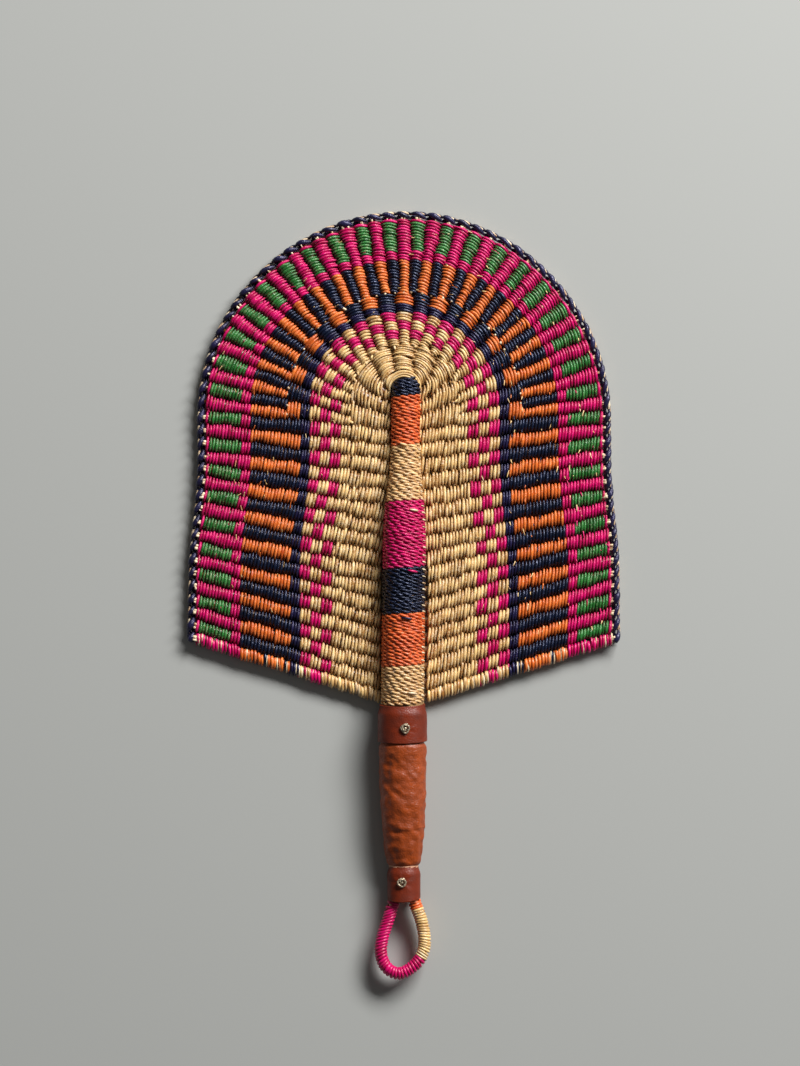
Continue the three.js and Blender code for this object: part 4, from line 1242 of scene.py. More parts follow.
class FAN_OT_border(bpy.types.Operator):
    """Twines the navy edge and the natural twine outside it"""

    bl_idname = "fan.border"
    bl_label = "Border"

    def execute(self, context):
        blade = Blade(context.scene)
        sizes = blade.sizes
        dice = np.random.default_rng(BORDER_SEED)
        edge_middle = blade.twine - EDGE_INSET * sizes.edge_twine_width
        edge_width = EDGE_FULLNESS * sizes.edge_twine_width
        rim_middle = blade.edge - RIM_INSET * sizes.edge_roll_width
        rim_width = RIM_FULLNESS * sizes.edge_roll_width
        navy = [twined_strand(blade, edge_middle, edge_width, phase, EDGE_TWIST, dice) for phase in (0, 1)]
        rim = [twined_strand(blade, rim_middle, rim_width, phase, RIM_TWIST, dice) for phase in (0, 1)]
        edge_twine = strands("edge_twine_navy", navy, height=EDGE_HEIGHT, sides=FINE_SIDES)
        edge_roll = strands("edge_roll_natural", rim, height=RIM_HEIGHT)
        settle(edge_twine, "purple", "navy_straw", "edge_twine")
        settle(edge_roll, "pith", NATURAL_SLOT, "edge_roll")
        return {"FINISHED"}


# How far the collars' edges rise from the front round to the sides, and how soon the binding evens that out.
COLLAR_RISE = 1.2 * MM
COLLAR_FADE = 7.0 * MM


def collar_rise(front):
    """Rise of a collar's edge, for places from 1 in front to 0 at the sides and below."""
    return COLLAR_RISE * (1 - np.clip(front, 0.0, 1.0))


# Section of the bound stick: powers that square off its sides, front and back where they are below 1, and the
# share of its height that lies behind its widest place.
SIDE_POWER = 0.9
FRONT_POWER = 0.95
BACK_POWER = 0.5
BACK_SHARE = 0.4

# The last section in the round of the tip, as a share of its radius.
TIP_END = 0.99


class BoundStick:
    """The outside of the stick with its binding."""

    def __init__(self, scene):
        self.blade = Blade(scene)
        self.sizes = scene.fan_stick
        self.tip_centre = self.blade.arc_centre(self.blade.inner) + self.sizes.tip_rise

    def tip_share(self, height):
        """Share of its full section that the stick has in the round of its tip."""
        over = np.clip((height - self.tip_centre) / (self.sizes.bound_tip_width / 2), 0.0, TIP_END)
        return np.sqrt(1 - over * over)

    def widening(self, height):
        """Share of the way from the tip's section to the foot's."""
        top = self.sizes.bound_shoulder_top
        return smooth_share((top - height) / (top - self.sizes.bound_shoulder_foot))

    def ring(self, height, angle, inset):
        """Across and height above the floor of places round the stick, flat behind and arched in front."""
        sizes = self.sizes
        tip = self.tip_share(height)
        share = self.widening(height)
        width = sizes.bound_tip_width + share * (sizes.bound_foot_width - sizes.bound_tip_width)
        top = sizes.tip_thickness + share * (sizes.foot_thickness - sizes.tip_thickness)
        half = width / 2 * tip - inset
        low = GAP + inset
        rise = sizes.back + tip * (top - sizes.back) - inset - low
        across, up = np.cos(angle), np.sin(angle)
        lean = np.interp(height, (0.0, self.tip_centre), (sizes.foot_lean, sizes.tip_lean))
        x = lean + half * np.sign(across) * np.abs(across) ** SIDE_POWER
        reach = np.where(up > 0, 1 - BACK_SHARE, BACK_SHARE) * rise
        power = np.where(up > 0, FRONT_POWER, BACK_POWER)
        z = low + BACK_SHARE * rise + reach * np.sign(up) * np.abs(up) ** power
        return x, z


# How far the two straws of a cord lie from its middle, as a share of a straw's half width.
PLY_OFFSET = 0.8

# Unevenness of a cord: by what angle its twist strays, how many lays a stray lasts, and how much the width
# of a straw differs.
TWIST_STRAY = 1.8
TWIST_STRAY_LAYS = 3
PLY_STRAY = 0.08


def two_ply(line, outward, sideways, ply_half, lay, dice):
    """Two straws twisted round a line. outward and sideways are directions across it."""
    along = distances(line)
    turn = uneven(dice, along, TWIST_STRAY_LAYS * lay, TWIST_STRAY) - 2 * np.pi * along / lay
    plies = []
    for phase in (0.0, np.pi):
        across = np.cos(turn + phase)[:, None] * outward + np.sin(turn + phase)[:, None] * sideways
        # Painted shade: each straw's tone drops where it turns to the back of the cord.
        tone = uneven(dice, along, lay, STRAW_TONE) + PAINTED_CREVICE_SHADE * (np.cos(turn + phase) - 1) / 2
        half = ply_half * (1 + uneven(dice, along, lay, PLY_STRAY))
        plies.append(np.column_stack((line + PLY_OFFSET * ply_half * across, half, tone)))
    return plies


# Binding: places on one turn, the height of its first turn and how far turns stray, as shares of the pitch.
BINDING_STEPS = 120
FIRST_TURN = 0.35
TURN_STRAY = 0.06


def binding_cord(stick, first_turn, last_turn, dice):
    """Two straws wound round the stick. Each turn climbs to the next as it crosses the front to the right."""
    ply_half = stick.sizes.ply_width / 2
    turns = np.linspace(first_turn, last_turn, (last_turn - first_turn) * BINDING_STEPS + 1)
    part = turns - np.floor(turns)
    climb = np.floor(turns) + np.clip(2 * part, 0.0, 1.0)
    height = stick.sizes.cord_pitch * (climb + FIRST_TURN + per_row(dice, turns, TURN_STRAY))
    angle = np.pi - 2 * np.pi * part
    height = height + collar_rise(np.sin(angle)) * np.exp(-height / COLLAR_FADE)
    x, z = stick.ring(height, angle, (1 + PLY_OFFSET) * ply_half)
    line = np.column_stack((x, height, z))
    run = np.gradient(line, axis=0)
    outward = np.column_stack((-run[:, 2], np.zeros(len(run)), run[:, 0]))
    outward /= np.linalg.norm(outward, axis=1)[:, None]
    return two_ply(line, outward, np.array((0.0, 1.0, 0.0)), ply_half, stick.sizes.lay, dice)


# Stitches: how many turns apart they are, their places, the angles on the right of the stick between which
# they lie, the share of a turn above which they sit, their slant, depth, half width and tone.
STITCH_TURNS = 2
STITCH_PLACES = 4
STITCH_ANGLES = (0.17 * np.pi, 0.03 * np.pi)
STITCH_TURN_SHARE = (0.85, 0.12)
STITCH_SLANT = 0.3 * MM
STITCH_DEPTH = 0.35 * MM
STITCH_HALF = (0.45 * MM, 0.1 * MM)
STITCH_TONE = (0.3, 0.6)


def stitches(stick, dice):
    """Pale stitches along the right of the stick, which hold it to the weave."""
    pitch = stick.sizes.cord_pitch
    angle = np.linspace(*STITCH_ANGLES, STITCH_PLACES)
    slant = np.linspace(STITCH_SLANT, -STITCH_SLANT, STITCH_PLACES)
    lines = []
    for turn in range(STITCH_TURNS, round(stick.sizes.bound_shoulder_top / pitch), STITCH_TURNS):
        height = pitch * (turn + dice.normal(*STITCH_TURN_SHARE)) + slant
        x, z = stick.ring(height, angle, STITCH_DEPTH)
        half = np.full(STITCH_PLACES, dice.normal(*STITCH_HALF))
        tone = np.full(STITCH_PLACES, dice.normal(*STITCH_TONE))
        lines.append(np.column_stack((x, height, z, half, tone)))
    return lines


# Straw ends that show on the front of the binding: the straw, the height, and the share of half the width.
SPLICES = (
    ("pith", 7.4 * MM, 0.42),
    ("navy", 50.6 * MM, 0.14),
    ("pink", 77.8 * MM, 0.36),
    ("pith", 113.0 * MM, 0.42),
    ("natural", 151.0 * MM, -0.1),
)

# A splice: its places, how far it reaches each way as a share of half the width, its slant, how deep its ends
# lie, how far its middle rises, its half width, its taper and its tone.
SPLICE_PLACES = 7
SPLICE_REACH = 0.22
SPLICE_SLANT = (0.5 * MM, 0.2 * MM)
SPLICE_DEPTH = 0.1 * MM
SPLICE_RISE = 0.5 * MM
SPLICE_HALF = 0.75 * MM
SPLICE_TAPER = 0.6
SPLICE_TONE = 0.4


def splices(stick, dice):
    """Short straw ends that lie along the turns of the binding."""
    made = {}
    share = np.linspace(-1.0, 1.0, SPLICE_PLACES)
    for straw, middle, across in SPLICES:
        height = middle - dice.normal(*SPLICE_SLANT) * share
        angle = np.arccos(across + SPLICE_REACH * share)
        x, z = stick.ring(height, angle, SPLICE_DEPTH - SPLICE_RISE * (1 - share**2))
        half = SPLICE_HALF * (1 - SPLICE_TAPER * share**2)
        tone = np.full(SPLICE_PLACES, SPLICE_TONE)
        made.setdefault(straw, []).append(np.column_stack((x, height, z, half, tone)))
    return made


# Binding from the collar up: the solid, the straw, and the height where the colour ends.
BINDINGS = (
    ("binding_natural_lower", "binding_natural", 22.2 * MM),
    ("binding_orange_lower", "binding_orange", 53.0 * MM),
    ("binding_navy_lower", "navy", 79.2 * MM),
    ("binding_pink", "pink", 117.3 * MM),
    ("binding_natural_upper", "binding_natural", 150.9 * MM),
    ("binding_orange_upper", "binding_orange", 178.9 * MM),
    ("binding_navy_tip", "navy", 189.2 * MM),
)


class FAN_OT_binding(bpy.types.Operator):
    """Winds the coloured cords round the stick"""

    bl_idname = "fan.binding"
    bl_label = "Binding"

    def execute(self, context):
        stick = BoundStick(context.scene)
        dice = np.random.default_rng(BINDING_SEED)
        first_turn = 0
        for node, straw, top in BINDINGS:
            last_turn = round(top / stick.sizes.cord_pitch)
            plies = binding_cord(stick, first_turn, last_turn, dice)
            piece = strands(node.replace("binding", "stick_cord"), plies, sides=COARSE_SIDES)
            settle(piece, straw, STRAWS[straw][0], node)
            first_turn = last_turn
        settle(strands("stick_stitches", stitches(stick, dice)), "pith", NATURAL_SLOT)
        for straw, lines in splices(stick, dice).items():
            settle(strands(f"stick_splices_{straw}", lines), straw, STRAWS[straw][0])
        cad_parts["stick"].material_slots[0].material = material("wood")
        return {"FINISHED"}


# The handle's oval section: its depth as a share of its width, how far its flat back cuts into the oval, and
# the sides of a leather tube.
HANDLE_DEPTH = 0.8
FLAT_DEPTH = 0.4 * MM
SLEEVE_SIDES = 64


def handle_lean(height, sizes):
    """How far the handle lies to the right at a height on the fan."""
    return sizes.lean * np.clip(1 - height / MOUTH, 0.0, 1.0)


def handle_centre(width):
    """Height of the middle of an oval section that lies on its back."""
    return width * HANDLE_DEPTH / 2


def oval_tube(stations, floor):
    """An open tube through oval sections, each given by its height on the fan, its width and its centre."""
    bm = bmesh.new()
    rings = []
    for height, width, centre in stations:
        place = (
            Matrix.Translation((0.0, HANDLE_TOP + height, centre))
            @ Matrix.Diagonal((width / 2, 1.0, width * HANDLE_DEPTH / 2, 1.0))
            @ Matrix.Rotation(math.pi / 2, 4, "X")
        )
        made = bmesh.ops.create_circle(bm, segments=SLEEVE_SIDES, radius=1.0, matrix=place)
        rings.append({edge for vert in made["verts"] for edge in vert.link_edges})
    for upper, lower in zip(rings, rings[1:]):
        bmesh.ops.bridge_loops(bm, edges=[*upper, *lower])
    bmesh.ops.recalc_face_normals(bm, faces=bm.faces)
    for vert in bm.verts:
        vert.co.z = max(vert.co.z, floor)
    return bm


def mesh_object(name, bm):
    """A new object with smooth faces, made from a mesh that is ready."""
    for face in bm.faces:
        face.smooth = True
    mesh = bpy.data.meshes.new(name)
    bm.to_mesh(mesh)
    bm.free()
    return link(bpy.data.objects.new(name, mesh))


def leather_piece(name, bm, sizes, rim_material):
    """An object with walls of leather that leans with the handle, and its own slot for the cut edges."""
    for vert in bm.verts:
        vert.co.x += handle_lean(vert.co.y - HANDLE_TOP, sizes)
    piece = mesh_object(name, bm)
    wall = piece.modifiers.new("Wall", "SOLIDIFY")
    wall.thickness = sizes.leather
    wall.offset = -1.0
    wall.material_offset_rim = rim_material
    soft = piece.modifiers.new("Soft", "SUBSURF")
    soft.levels = 1
    soft.render_levels = 1
    return piece


# Where the grip has its middle and low widths, as shares of its length from the top, and the share of the
# tuck in which it swells to its own width outside a collar.
GRIP_MIDDLE_SHARE = 0.5
GRIP_LOW_SHARE = 0.84
GRIP_SWELL = 1 / 3


def grip_widths(sizes):
    """Widths of the grip's outside from its tucked top end to its tucked lower end."""
    inside = 2 * (sizes.leather + GAP + FLAT_DEPTH)
    grip_length = GRIP_TOP - GRIP_FOOT
    return (
        (GRIP_TOP + sizes.tuck, sizes.upper_collar_width - inside),
        (GRIP_TOP + GAP, sizes.upper_collar_width - inside),
        (GRIP_TOP - GRIP_SWELL * sizes.tuck, sizes.grip_top_width),
        (GRIP_TOP - GRIP_MIDDLE_SHARE * grip_length, sizes.grip_middle_width),
        (GRIP_TOP - GRIP_LOW_SHARE * grip_length, sizes.grip_low_width),
        (GRIP_FOOT + GRIP_SWELL * sizes.tuck, sizes.grip_foot_width),
        (GRIP_FOOT - GAP, sizes.lower_collar_width - inside),
        (GRIP_FOOT - sizes.tuck, sizes.lower_collar_width - inside),
    )


def grip_section(height, sizes):
    """Width and centre of the grip's section at a height on the fan."""
    heights, widths = zip(*grip_widths(sizes)[::-1])
    width = float(np.interp(height, heights, widths))
    drop = np.clip((GRIP_TOP - height) / (GRIP_TOP - GRIP_FOOT), 0.0, 1.0)
    collar = sizes.upper_collar_width + drop * (sizes.lower_collar_width - sizes.upper_collar_width)
    return width, handle_centre(max(width, collar) - 2 * FLAT_DEPTH)


# Bumps of the grip: scales of the lumps and of the finer pebbles, and their shares of the bumps' height. The
# lumps are built in layers: how much finer ones fade, how much finer each one is, and how many there are.
LUMP_SCALE = 150.0
LUMP_SHARE = 0.45
LUMP_LAYERS = (1.0, 2.0, 2)
PEBBLE_SCALE = 285.0
PEBBLE_SHARE = 0.75

# The crease across the grip: how far it lies below the upper collar, its slope, its width and its share of
# the bumps' height. Then the depth of its hollow, and the height and place of the ridge above it, in widths.
CREASE_DROP = 50.5 * MM
CREASE_SLOPE = 0.07
CREASE_WIDTH = 0.9 * MM
CREASE_SHARE = 0.4
HOLLOW_DEPTH = 0.9
RIDGE_HEIGHT = 0.8
RIDGE_PLACE = 1.2


def grip_bump(place, sizes):
    """How far the grip's leather stands out over the straw under it, and the crease that crosses it."""
    lumps = noise.fractal(place * LUMP_SCALE, *LUMP_LAYERS, noise_basis="PERLIN_ORIGINAL")
    pebbles = noise.noise(place * PEBBLE_SCALE)
    crease_height = HANDLE_TOP + GRIP_TOP - CREASE_DROP + CREASE_SLOPE * place.x
    above = (place.y - crease_height) / CREASE_WIDTH
    ridge = RIDGE_HEIGHT * math.exp(-((above - RIDGE_PLACE) ** 2))
    crease = ridge - HOLLOW_DEPTH * math.exp(-(above**2))
    return sizes.bump * (LUMP_SHARE * lumps + PEBBLE_SHARE * pebbles + CREASE_SHARE * crease)


# The dented leather round a nail: the reach and depth of the dent, and the number, first angle and height of
# the creases that run out from it, with the distance at which they are full.
DIMPLE_REACH = 5.2 * MM
DIMPLE_DEPTH = 0.25 * MM
DIMPLE_CREASES = 7
DIMPLE_ANGLE = 1.3
DIMPLE_RIPPLE = 0.22 * MM
DIMPLE_FULL = 2.5 * MM


def nail_dimple(place, nail):
    """How the leather sinks and creases round a nail."""
    away = Vector((place.x - nail.x, place.y - nail.y))
    near = math.exp(-((away.length / DIMPLE_REACH) ** 2))
    creases = math.sin(DIMPLE_CREASES * math.atan2(away.y, away.x) + DIMPLE_ANGLE)
    creases *= min(1.0, away.length / DIMPLE_FULL)
    return near * (DIMPLE_RIPPLE * creases - DIMPLE_DEPTH)


def push_out(bm, centre_at, push):
    """Moves each vertex away from the middle line of the handle by what push gives for its place."""
    for vert in bm.verts:
        outward = Vector((vert.co.x, 0.0, vert.co.z - centre_at(vert.co.y - HANDLE_TOP)))
        if outward.length > 0.0 and vert.co.z > GAP:
            vert.co += push(vert.co) * outward.normalized()


# Grip: sections of the leather, and the distance from the collars in which its bumps grow to full height.
GRIP_RINGS = 84
BUMP_FADE = 2.5 * MM

# Packing: its straws, their places, half width and how much their tone differs.
PACKING_STRAWS = 18
PACKING_PLACES = 24
PACKING_HALF = 1.05 * MM
PACKING_TONE = 0.8


class FAN_OT_grip(bpy.types.Operator):
    """Covers the handle with bumpy leather over a packing of straws"""

    bl_idname = "fan.grip"
    bl_label = "Grip"

    def execute(self, context):
        sizes = context.scene.fan_handle
        heights = np.linspace(GRIP_TOP + sizes.tuck, GRIP_FOOT - sizes.tuck, GRIP_RINGS)
        tube = oval_tube([(height, *grip_section(height, sizes)) for height in heights], GAP)

        def bump(place):
            height = place.y - HANDLE_TOP
            inside = min(GRIP_TOP - height, height - GRIP_FOOT) / BUMP_FADE
            return grip_bump(place, sizes) * float(smooth_share(inside))

        push_out(tube, lambda height: grip_section(height, sizes)[1], bump)
        cover = leather_piece("grip_cover", tube, sizes, 0)
        settle(cover, "grip_leather", "grip_leather", "grip_leather")
        self.pack(sizes)
        return {"FINISHED"}

    def pack(self, sizes):
        """Straws between the stick and the leather."""
        dice = np.random.default_rng(PACKING_SEED)
        heights = np.linspace(GRIP_TOP + sizes.tuck, GRIP_FOOT - GAP, PACKING_PLACES)
        sections = [grip_section(height, sizes) for height in heights]
        centres = np.array([centre for _, centre in sections])
        inside = np.array([width / 2 for width, _ in sections]) - sizes.leather - GAP - PACKING_HALF
        lowest = sizes.leather + 2 * GAP + PACKING_HALF
        half = np.full(PACKING_PLACES, PACKING_HALF)
        lines = []
        for angle in np.linspace(0.0, 2 * math.pi, PACKING_STRAWS, endpoint=False):
            x = inside * math.cos(angle) + handle_lean(heights, sizes)
            z = np.maximum(centres + HANDLE_DEPTH * inside * math.sin(angle), lowest)
            tone = np.full(PACKING_PLACES, dice.normal(0.0, PACKING_TONE))
            lines.append(np.column_stack((x, heights, z, half, tone)))
        settle(strands("packing_straws", lines), "natural", "packing", "grip_packing")


# Collars: their sections, the distance from an end to the first one, the slants of their ends to the right,
# and the height and scale of the bumps in their leather.
COLLAR_RINGS = 26
COLLAR_INSET = 0.5 * MM
UPPER_SLANT = 0.6 * MM
LOWER_SLANT = 2.4 * MM
COLLAR_BUMP = 0.16 * MM
COLLAR_BUMP_SCALE = 200.0

# How far a collar's top is drawn in, and in what length.
DRAWN_IN = 1.1 * MM
DRAWN_IN_LENGTH = 5.0 * MM

# How far the nails and their wire sink into the dented leather.
NAIL_SINK = 0.35 * MM

# The curl of wire round each nail: its turns, how much longer it is along the fan, and how crushed it is.
NAIL_CURLS = {
    "upper": (1.7, 1.08, 0.12),
    "lower": (1.3, 1.0, 0.04),
}

# The wire: its places, the angle where the curl begins, the angle it has turned by where it starts to wind
# in, the share by which it winds in, the waves and first angle of its crushed round, and how far it climbs.
WIRE_PLACES = 60
WIRE_ANGLE = 0.9
WIRE_ROUND = 1.5 * math.pi
WIRE_WINDS_IN = 0.62
CRUSH_WAVES = 3.4
CRUSH_ANGLE = 0.6
WIRE_CLIMB = 0.7 * MM

# Nail heads: the half width as a share of the ring's width, the height as a share of the width, the fineness
# of the mesh, and the height and scale of the hammered dents.
HEAD_SHARE = 0.22
HEAD_HEIGHT = 0.8
HEAD_DIVISIONS = 3
HEAD_DENT = 0.14 * MM
HEAD_DENT_SCALE = 900.0


class FAN_OT_collars(bpy.types.Operator):
    """Wraps the two leather collars and drives their nails"""

    bl_idname = "fan.collars"
    bl_label = "Collars and nails"

    def execute(self, context):
        sizes = context.scene.fan_handle
        collars = (
            ("upper", -GAP, GRIP_TOP, sizes.upper_collar_width, UPPER_SLANT, "dark_leather"),
            ("lower", GRIP_FOOT, MOUTH, sizes.lower_collar_width, LOWER_SLANT, "raw_leather"),
        )
        for side, top, foot, width, slant, rim in collars:
            low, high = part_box(f"{side}_nail")
            nail = (low + high) / 2
            tube = self.dented_tube(nail, top, foot, width, slant)
            piece = leather_piece(f"{side}_collar_leather", tube, sizes, 1)
            settle(piece, "dark_leather", "dark_leather", f"{side}_collar")
            piece.data.materials.append(material(rim))
            nail.x += handle_lean(nail.y - HANDLE_TOP, sizes)
            self.drive_nail(side, nail, sizes)
        return {"FINISHED"}

    def dented_tube(self, nail, top, foot, width, slant):
        """A collar's outside with slanting ends, drawn in at its top and dented round its nail."""
        centre = handle_centre(width - 2 * FLAT_DEPTH)
        between = np.linspace(top, foot, COLLAR_RINGS)[1:-1]
        heights = [top, top - COLLAR_INSET, *between, foot + COLLAR_INSET, foot]
        tube = oval_tube([(height, width, centre) for height in heights], 0.0)
        for vert in tube.verts:
            front = (vert.co.z - centre) / (width * HANDLE_DEPTH / 2)
            vert.co.y += collar_rise(front) + slant * max(0.0, vert.co.x) / width
        for face in tube.faces:
            is_top = face.calc_center_median().y > HANDLE_TOP + top - COLLAR_INSET
            face.material_index = 1 if is_top else 0

        def press(place):
            dimple = nail_dimple(place, nail) if place.z > centre else 0.0
            bump = COLLAR_BUMP * noise.noise(place * COLLAR_BUMP_SCALE)
            drawn_in = smooth_share(1 - (HANDLE_TOP + top - place.y) / DRAWN_IN_LENGTH)
            return dimple + bump - DRAWN_IN * float(drawn_in)

        push_out(tube, lambda height: centre, press)
        return tube

    def drive_nail(self, side, nail, sizes):
        """A hammered nail in a curl of wire that was bent over round it."""
        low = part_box(f"{side}_washer")[0]
        half = sizes.wire / 2
        turns, stretch, crush = NAIL_CURLS[side]
        turn = np.linspace(0.0, 2 * math.pi * turns, WIRE_PLACES)
        winding_in = smooth_share((turn - WIRE_ROUND) / (turn[-1] - math.pi))
        crushed = 1 + crush * np.sin(CRUSH_WAVES * turn + CRUSH_ANGLE)
        radius = (sizes.ring_width / 2 - half) * (1 - WIRE_WINDS_IN * winding_in) * crushed
        x = nail.x + radius * np.cos(turn + WIRE_ANGLE)
        y = nail.y - HANDLE_TOP + stretch * radius * np.sin(turn + WIRE_ANGLE)
        z = low.z + half - NAIL_SINK + WIRE_CLIMB * turn / turn[-1]
        line = np.column_stack((x, y, z, np.full(WIRE_PLACES, half), np.zeros(WIRE_PLACES)))
        ring = strands(f"{side}_nail_ring", [line], sides=FINE_SIDES)
        settle(ring, "iron", "steel", f"{side}_washer")
        bm = bmesh.new()
        middle = Matrix.Translation((nail.x, nail.y, low.z - NAIL_SINK))
        place = middle @ Matrix.Diagonal((1.0, 1.0, HEAD_HEIGHT, 1.0))
        head_half = HEAD_SHARE * sizes.ring_width
        bmesh.ops.create_icosphere(bm, subdivisions=HEAD_DIVISIONS, radius=head_half, matrix=place)
        for vert in bm.verts:
            dent = HEAD_DENT * noise.noise(vert.co * HEAD_DENT_SCALE)
            vert.co += dent * (vert.co - place.translation).normalized()
        head = mesh_object(f"{side}_nail_head", bm)
        settle(head, "iron", "steel", f"{side}_nail")


# A curve leaves a point by one part in this many of the way between the point's two neighbours.
CURVE_PARTS = 6


def smooth_route(points, steps):
    """Places along a smooth curve through points."""
    ends = [points[0], *points, points[-1]]
    route = []
    for before, start, end, after in zip(ends, ends[1:], ends[2:], ends[3:]):
        leave = start + (end - before) / CURVE_PARTS
        arrive = end - (after - start) / CURVE_PARTS
        route.extend(interpolate_bezier(start, leave, arrive, end, steps + 1)[:-1])
    return np.array([*route, points[-1]])


def along_route(route, along):
    """Places on a route at distances from its start."""
    reached = distances(route)
    return np.column_stack([np.interp(along, reached, part) for part in route.T])


def evenly(route, number):
    """The same route with evenly spaced places, and its length."""
    whole = distances(route)[-1]
    return along_route(route, np.linspace(0.0, whole, number)), float(whole)


# Straw on the loop: places on one turn, its half width as a share of the spacing of its turns, and how far
# the turns stray and the half width differs, as shares of the spacing and of the half width.
WINDING_STEPS = 40
WINDING_FULLNESS = 0.56
WINDING_STRAY = 0.08
WINDING_WIDTH_STRAY = 0.07


def loop_winding(route, width, first, last, turns, slants, dice):
    """Straw wound round part of the loop, given by distances along its route.

    The turns lie further along on the outside of the loop, by the first of two slants where they begin and
    by the second where they end.
    """
    places = turns * WINDING_STEPS + 1
    angle = np.linspace(0.0, 2 * math.pi * turns, places)
    pitch = (last - first) / turns
    taper = np.minimum(angle, angle[::-1]) / (2 * math.pi)
    slanted = np.linspace(*slants, places) * np.clip(taper / 2, 0.0, 1.0) * np.cos(angle)
    stray = uneven(dice, angle, math.pi, WINDING_STRAY * pitch)
    along = np.linspace(first, last, places) + slanted + stray
    middle = along_route(route, along)
    run = along_route(route, along + pitch) - middle
    run /= np.linalg.norm(run, axis=1)[:, None]
    across = np.column_stack((run[:, 1], -run[:, 0], np.zeros(places)))
    outward = np.cos(angle)[:, None] * across + np.sin(angle)[:, None] * np.array((0.0, 0.0, 1.0))
    half = WINDING_FULLNESS * pitch * (1 + uneven(dice, angle, math.pi, WINDING_WIDTH_STRAY))
    line = middle + (width / 2 - half)[:, None] * outward
    return np.column_stack((line, half, uneven(dice, angle, 2 * math.pi, STRAW_TONE)))


# Loop: steps between the points of its route, places on it and on the whole cord, and the cord's sides.
ROUTE_STEPS = 12
ROUTE_PLACES = 160
CORD_PLACES = 120
CORD_SIDES = 10

# Shares of the loop that the pink, natural and orange straws cover.
PINK_SHARE = 0.65
NATURAL_SHARE = 0.3
ORANGE_SHARE = 0.05


class FAN_OT_loop(bpy.types.Operator):
    """Bends the hanging loop and winds coloured straw round it"""

    bl_idname = "fan.loop"
    bl_label = "Hanging loop"

    def execute(self, context):
        sizes = context.scene.fan_loop
        dice = np.random.default_rng(LOOP_SEED)
        bow = [Vector((x, MOUTH + y, LOOP_HEIGHT)) for x, y in LOOP_ROUTE]
        route, bow_length = evenly(smooth_route(bow, ROUTE_STEPS), ROUTE_PLACES)
        tails = [Vector((bow[end].x, MOUTH + sizes.tail, LOOP_HEIGHT)) for end in (0, -1)]
        whole = np.vstack((tails[0], route, tails[1]))
        path, cord_length = evenly(whole, CORD_PLACES)
        rows = np.column_stack((path, np.full(CORD_PLACES, sizes.cord / 2), np.zeros(CORD_PLACES)))
        core = strands("loop_core", [rows], sides=CORD_SIDES)
        pink_slants = (sizes.first_slant, sizes.last_slant)
        natural_slants = (sizes.last_slant, 0.0)
        windings = (
            ("loop_pink_winding", "pink", PINK_SHARE, sizes.pink_turns, pink_slants),
            ("loop_natural_winding", "natural", NATURAL_SHARE, sizes.natural_turns, natural_slants),
            ("loop_orange_whipping", "binding_orange", ORANGE_SHARE, sizes.orange_turns, (0.0, 0.0)),
        )
        wound = bow_length - sizes.left_free + sizes.right_tuck
        first = sizes.tail + sizes.left_free
        pieces = []
        for node, straw, share, turns, slants in windings:
            last = first + share * wound
            straw_line = loop_winding(whole, sizes.width, first, last, turns, slants, dice)
            piece = strands(node.replace("loop", "loop_cord"), [straw_line], sides=FINE_SIDES)
            settle(piece, straw, STRAWS[straw][0], node, body=None)
            pieces.append(piece)
            first = last
        settle(core, "natural", "cord", "loop_cord", "left_loop_tail", "right_loop_tail", body=None)
        for piece in (core, *pieces):
            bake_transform(piece)
        return {"FINISHED"}


FLOOR_ROUGHNESS = 0.9

# Height of the picture as a share of its width.
PICTURE_SHAPE = 1066 / 800


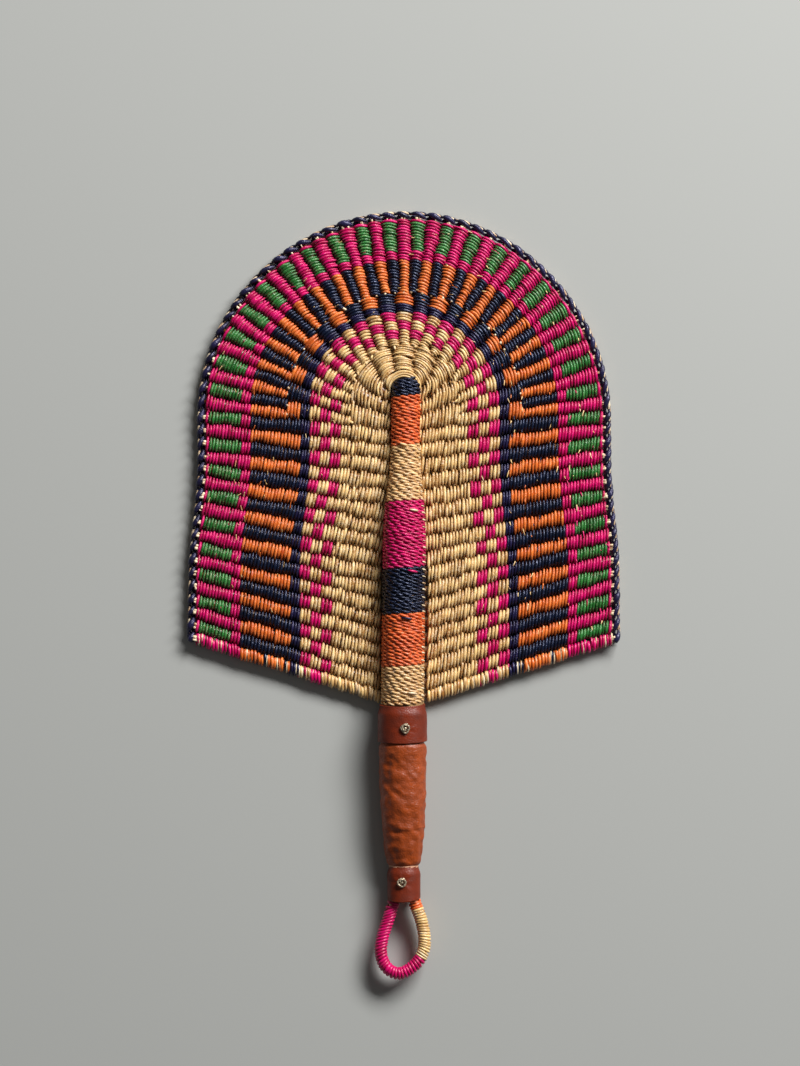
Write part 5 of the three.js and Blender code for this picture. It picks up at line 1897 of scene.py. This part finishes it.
class FAN_OT_stage(bpy.types.Operator):
    """Sets the floor, the lights and the camera above the fan"""

    bl_idname = "fan.stage"
    bl_label = "Stage"

    def execute(self, context):
        scene = context.scene
        sizes = scene.fan_stage
        self.lay_floor(sizes, scene.fan_colours.floor)
        self.hang_lights(scene, sizes)
        self.set_camera(scene, sizes)
        scene.view_settings.view_transform = "Standard"
        return {"FINISHED"}

    def lay_floor(self, sizes, tint):
        """A plain pale floor under the lowest place of the fan."""
        bm = bmesh.new()
        level = Matrix.Translation((0.0, 0.0, CAD_BOX[0][2]))
        bmesh.ops.create_grid(bm, x_segments=1, y_segments=1, size=sizes.floor_size, matrix=level)
        floor = mesh_object("floor", bm)
        paint = bpy.data.materials.new("floor_stone")
        paint.use_nodes = True
        shader = paint.node_tree.nodes["Principled BSDF"]
        shader.inputs["Base Color"].default_value = rgba(tint)
        shader.inputs["Roughness"].default_value = FLOOR_ROUGHNESS
        floor.data.materials.append(paint)

    def hang_lights(self, scene, sizes):
        """A soft window light from the upper right, and even light from all round."""
        lamp = bpy.data.lights.new("window", "AREA")
        lamp.shape = "RECTANGLE"
        lamp.size = sizes.window_width
        lamp.size_y = sizes.window_height
        lamp.energy = sizes.window_power
        window = link(bpy.data.objects.new("window", lamp))
        window.location = sizes.window_place
        window.rotation_euler = (-window.location).to_track_quat("-Z", "Y").to_euler()
        world = bpy.data.worlds.new("sky")
        world.use_nodes = True
        sky = world.node_tree.nodes["Background"]
        sky.inputs["Color"].default_value = (1.0, 1.0, 1.0, 1.0)
        sky.inputs["Strength"].default_value = sizes.sky
        scene.world = world

    def set_camera(self, scene, sizes):
        """A camera straight above the fan, with the picture's upright frame."""
        picture_height = sizes.view_width * PICTURE_SHAPE
        data = bpy.data.cameras.new("camera")
        data.lens = data.sensor_width * sizes.view_height / picture_height
        camera = link(bpy.data.objects.new("camera", data))
        camera.location = (sizes.view_x, sizes.view_y, sizes.view_height)
        scene.camera = camera


OPERATORS = (
    FAN_OT_stage,
    FAN_OT_loop,
    FAN_OT_weave,
    FAN_OT_stakes,
    FAN_OT_ends,
    FAN_OT_border,
    FAN_OT_binding,
    FAN_OT_grip,
    FAN_OT_collars,
)


class FAN_PT_sidebar(bpy.types.Panel):
    """The fan's sizes, colours and steps"""

    bl_idname = "FAN_PT_sidebar"
    bl_label = "Woven Straw Fan"
    bl_space_type = "VIEW_3D"
    bl_region_type = "UI"
    bl_category = "Fan"

    def draw(self, context):
        for operator in OPERATORS:
            self.layout.operator(operator.bl_idname)
        for group in GROUPS:
            settings = getattr(context.scene, group)
            box = self.layout.box()
            for name in settings.bl_rna.properties.keys():
                if name not in ("rna_type", "name"):
                    box.prop(settings, name)


CLASSES = (*GROUPS.values(), *OPERATORS, FAN_PT_sidebar)


def register():
    """Adds the fan's sizes, steps and panel."""
    for kind in CLASSES:
        bpy.utils.register_class(kind)
    for name, group in GROUPS.items():
        setattr(bpy.types.Scene, name, PointerProperty(type=group))


def unregister():
    """Takes the fan's sizes, steps and panel away."""
    for name in GROUPS:
        delattr(bpy.types.Scene, name)
    for kind in reversed(CLASSES):
        bpy.utils.unregister_class(kind)


def main():
    """Builds the fan."""
    register()
    bpy.ops.fan.stage()
    bpy.ops.fan.loop()
    bpy.ops.fan.weave()
    bpy.ops.fan.stakes()
    bpy.ops.fan.ends()
    bpy.ops.fan.border()
    bpy.ops.fan.binding()
    bpy.ops.fan.grip()
    bpy.ops.fan.collars()
    bpy.context.view_layer.update()


if __name__ == "__main__":
    main()
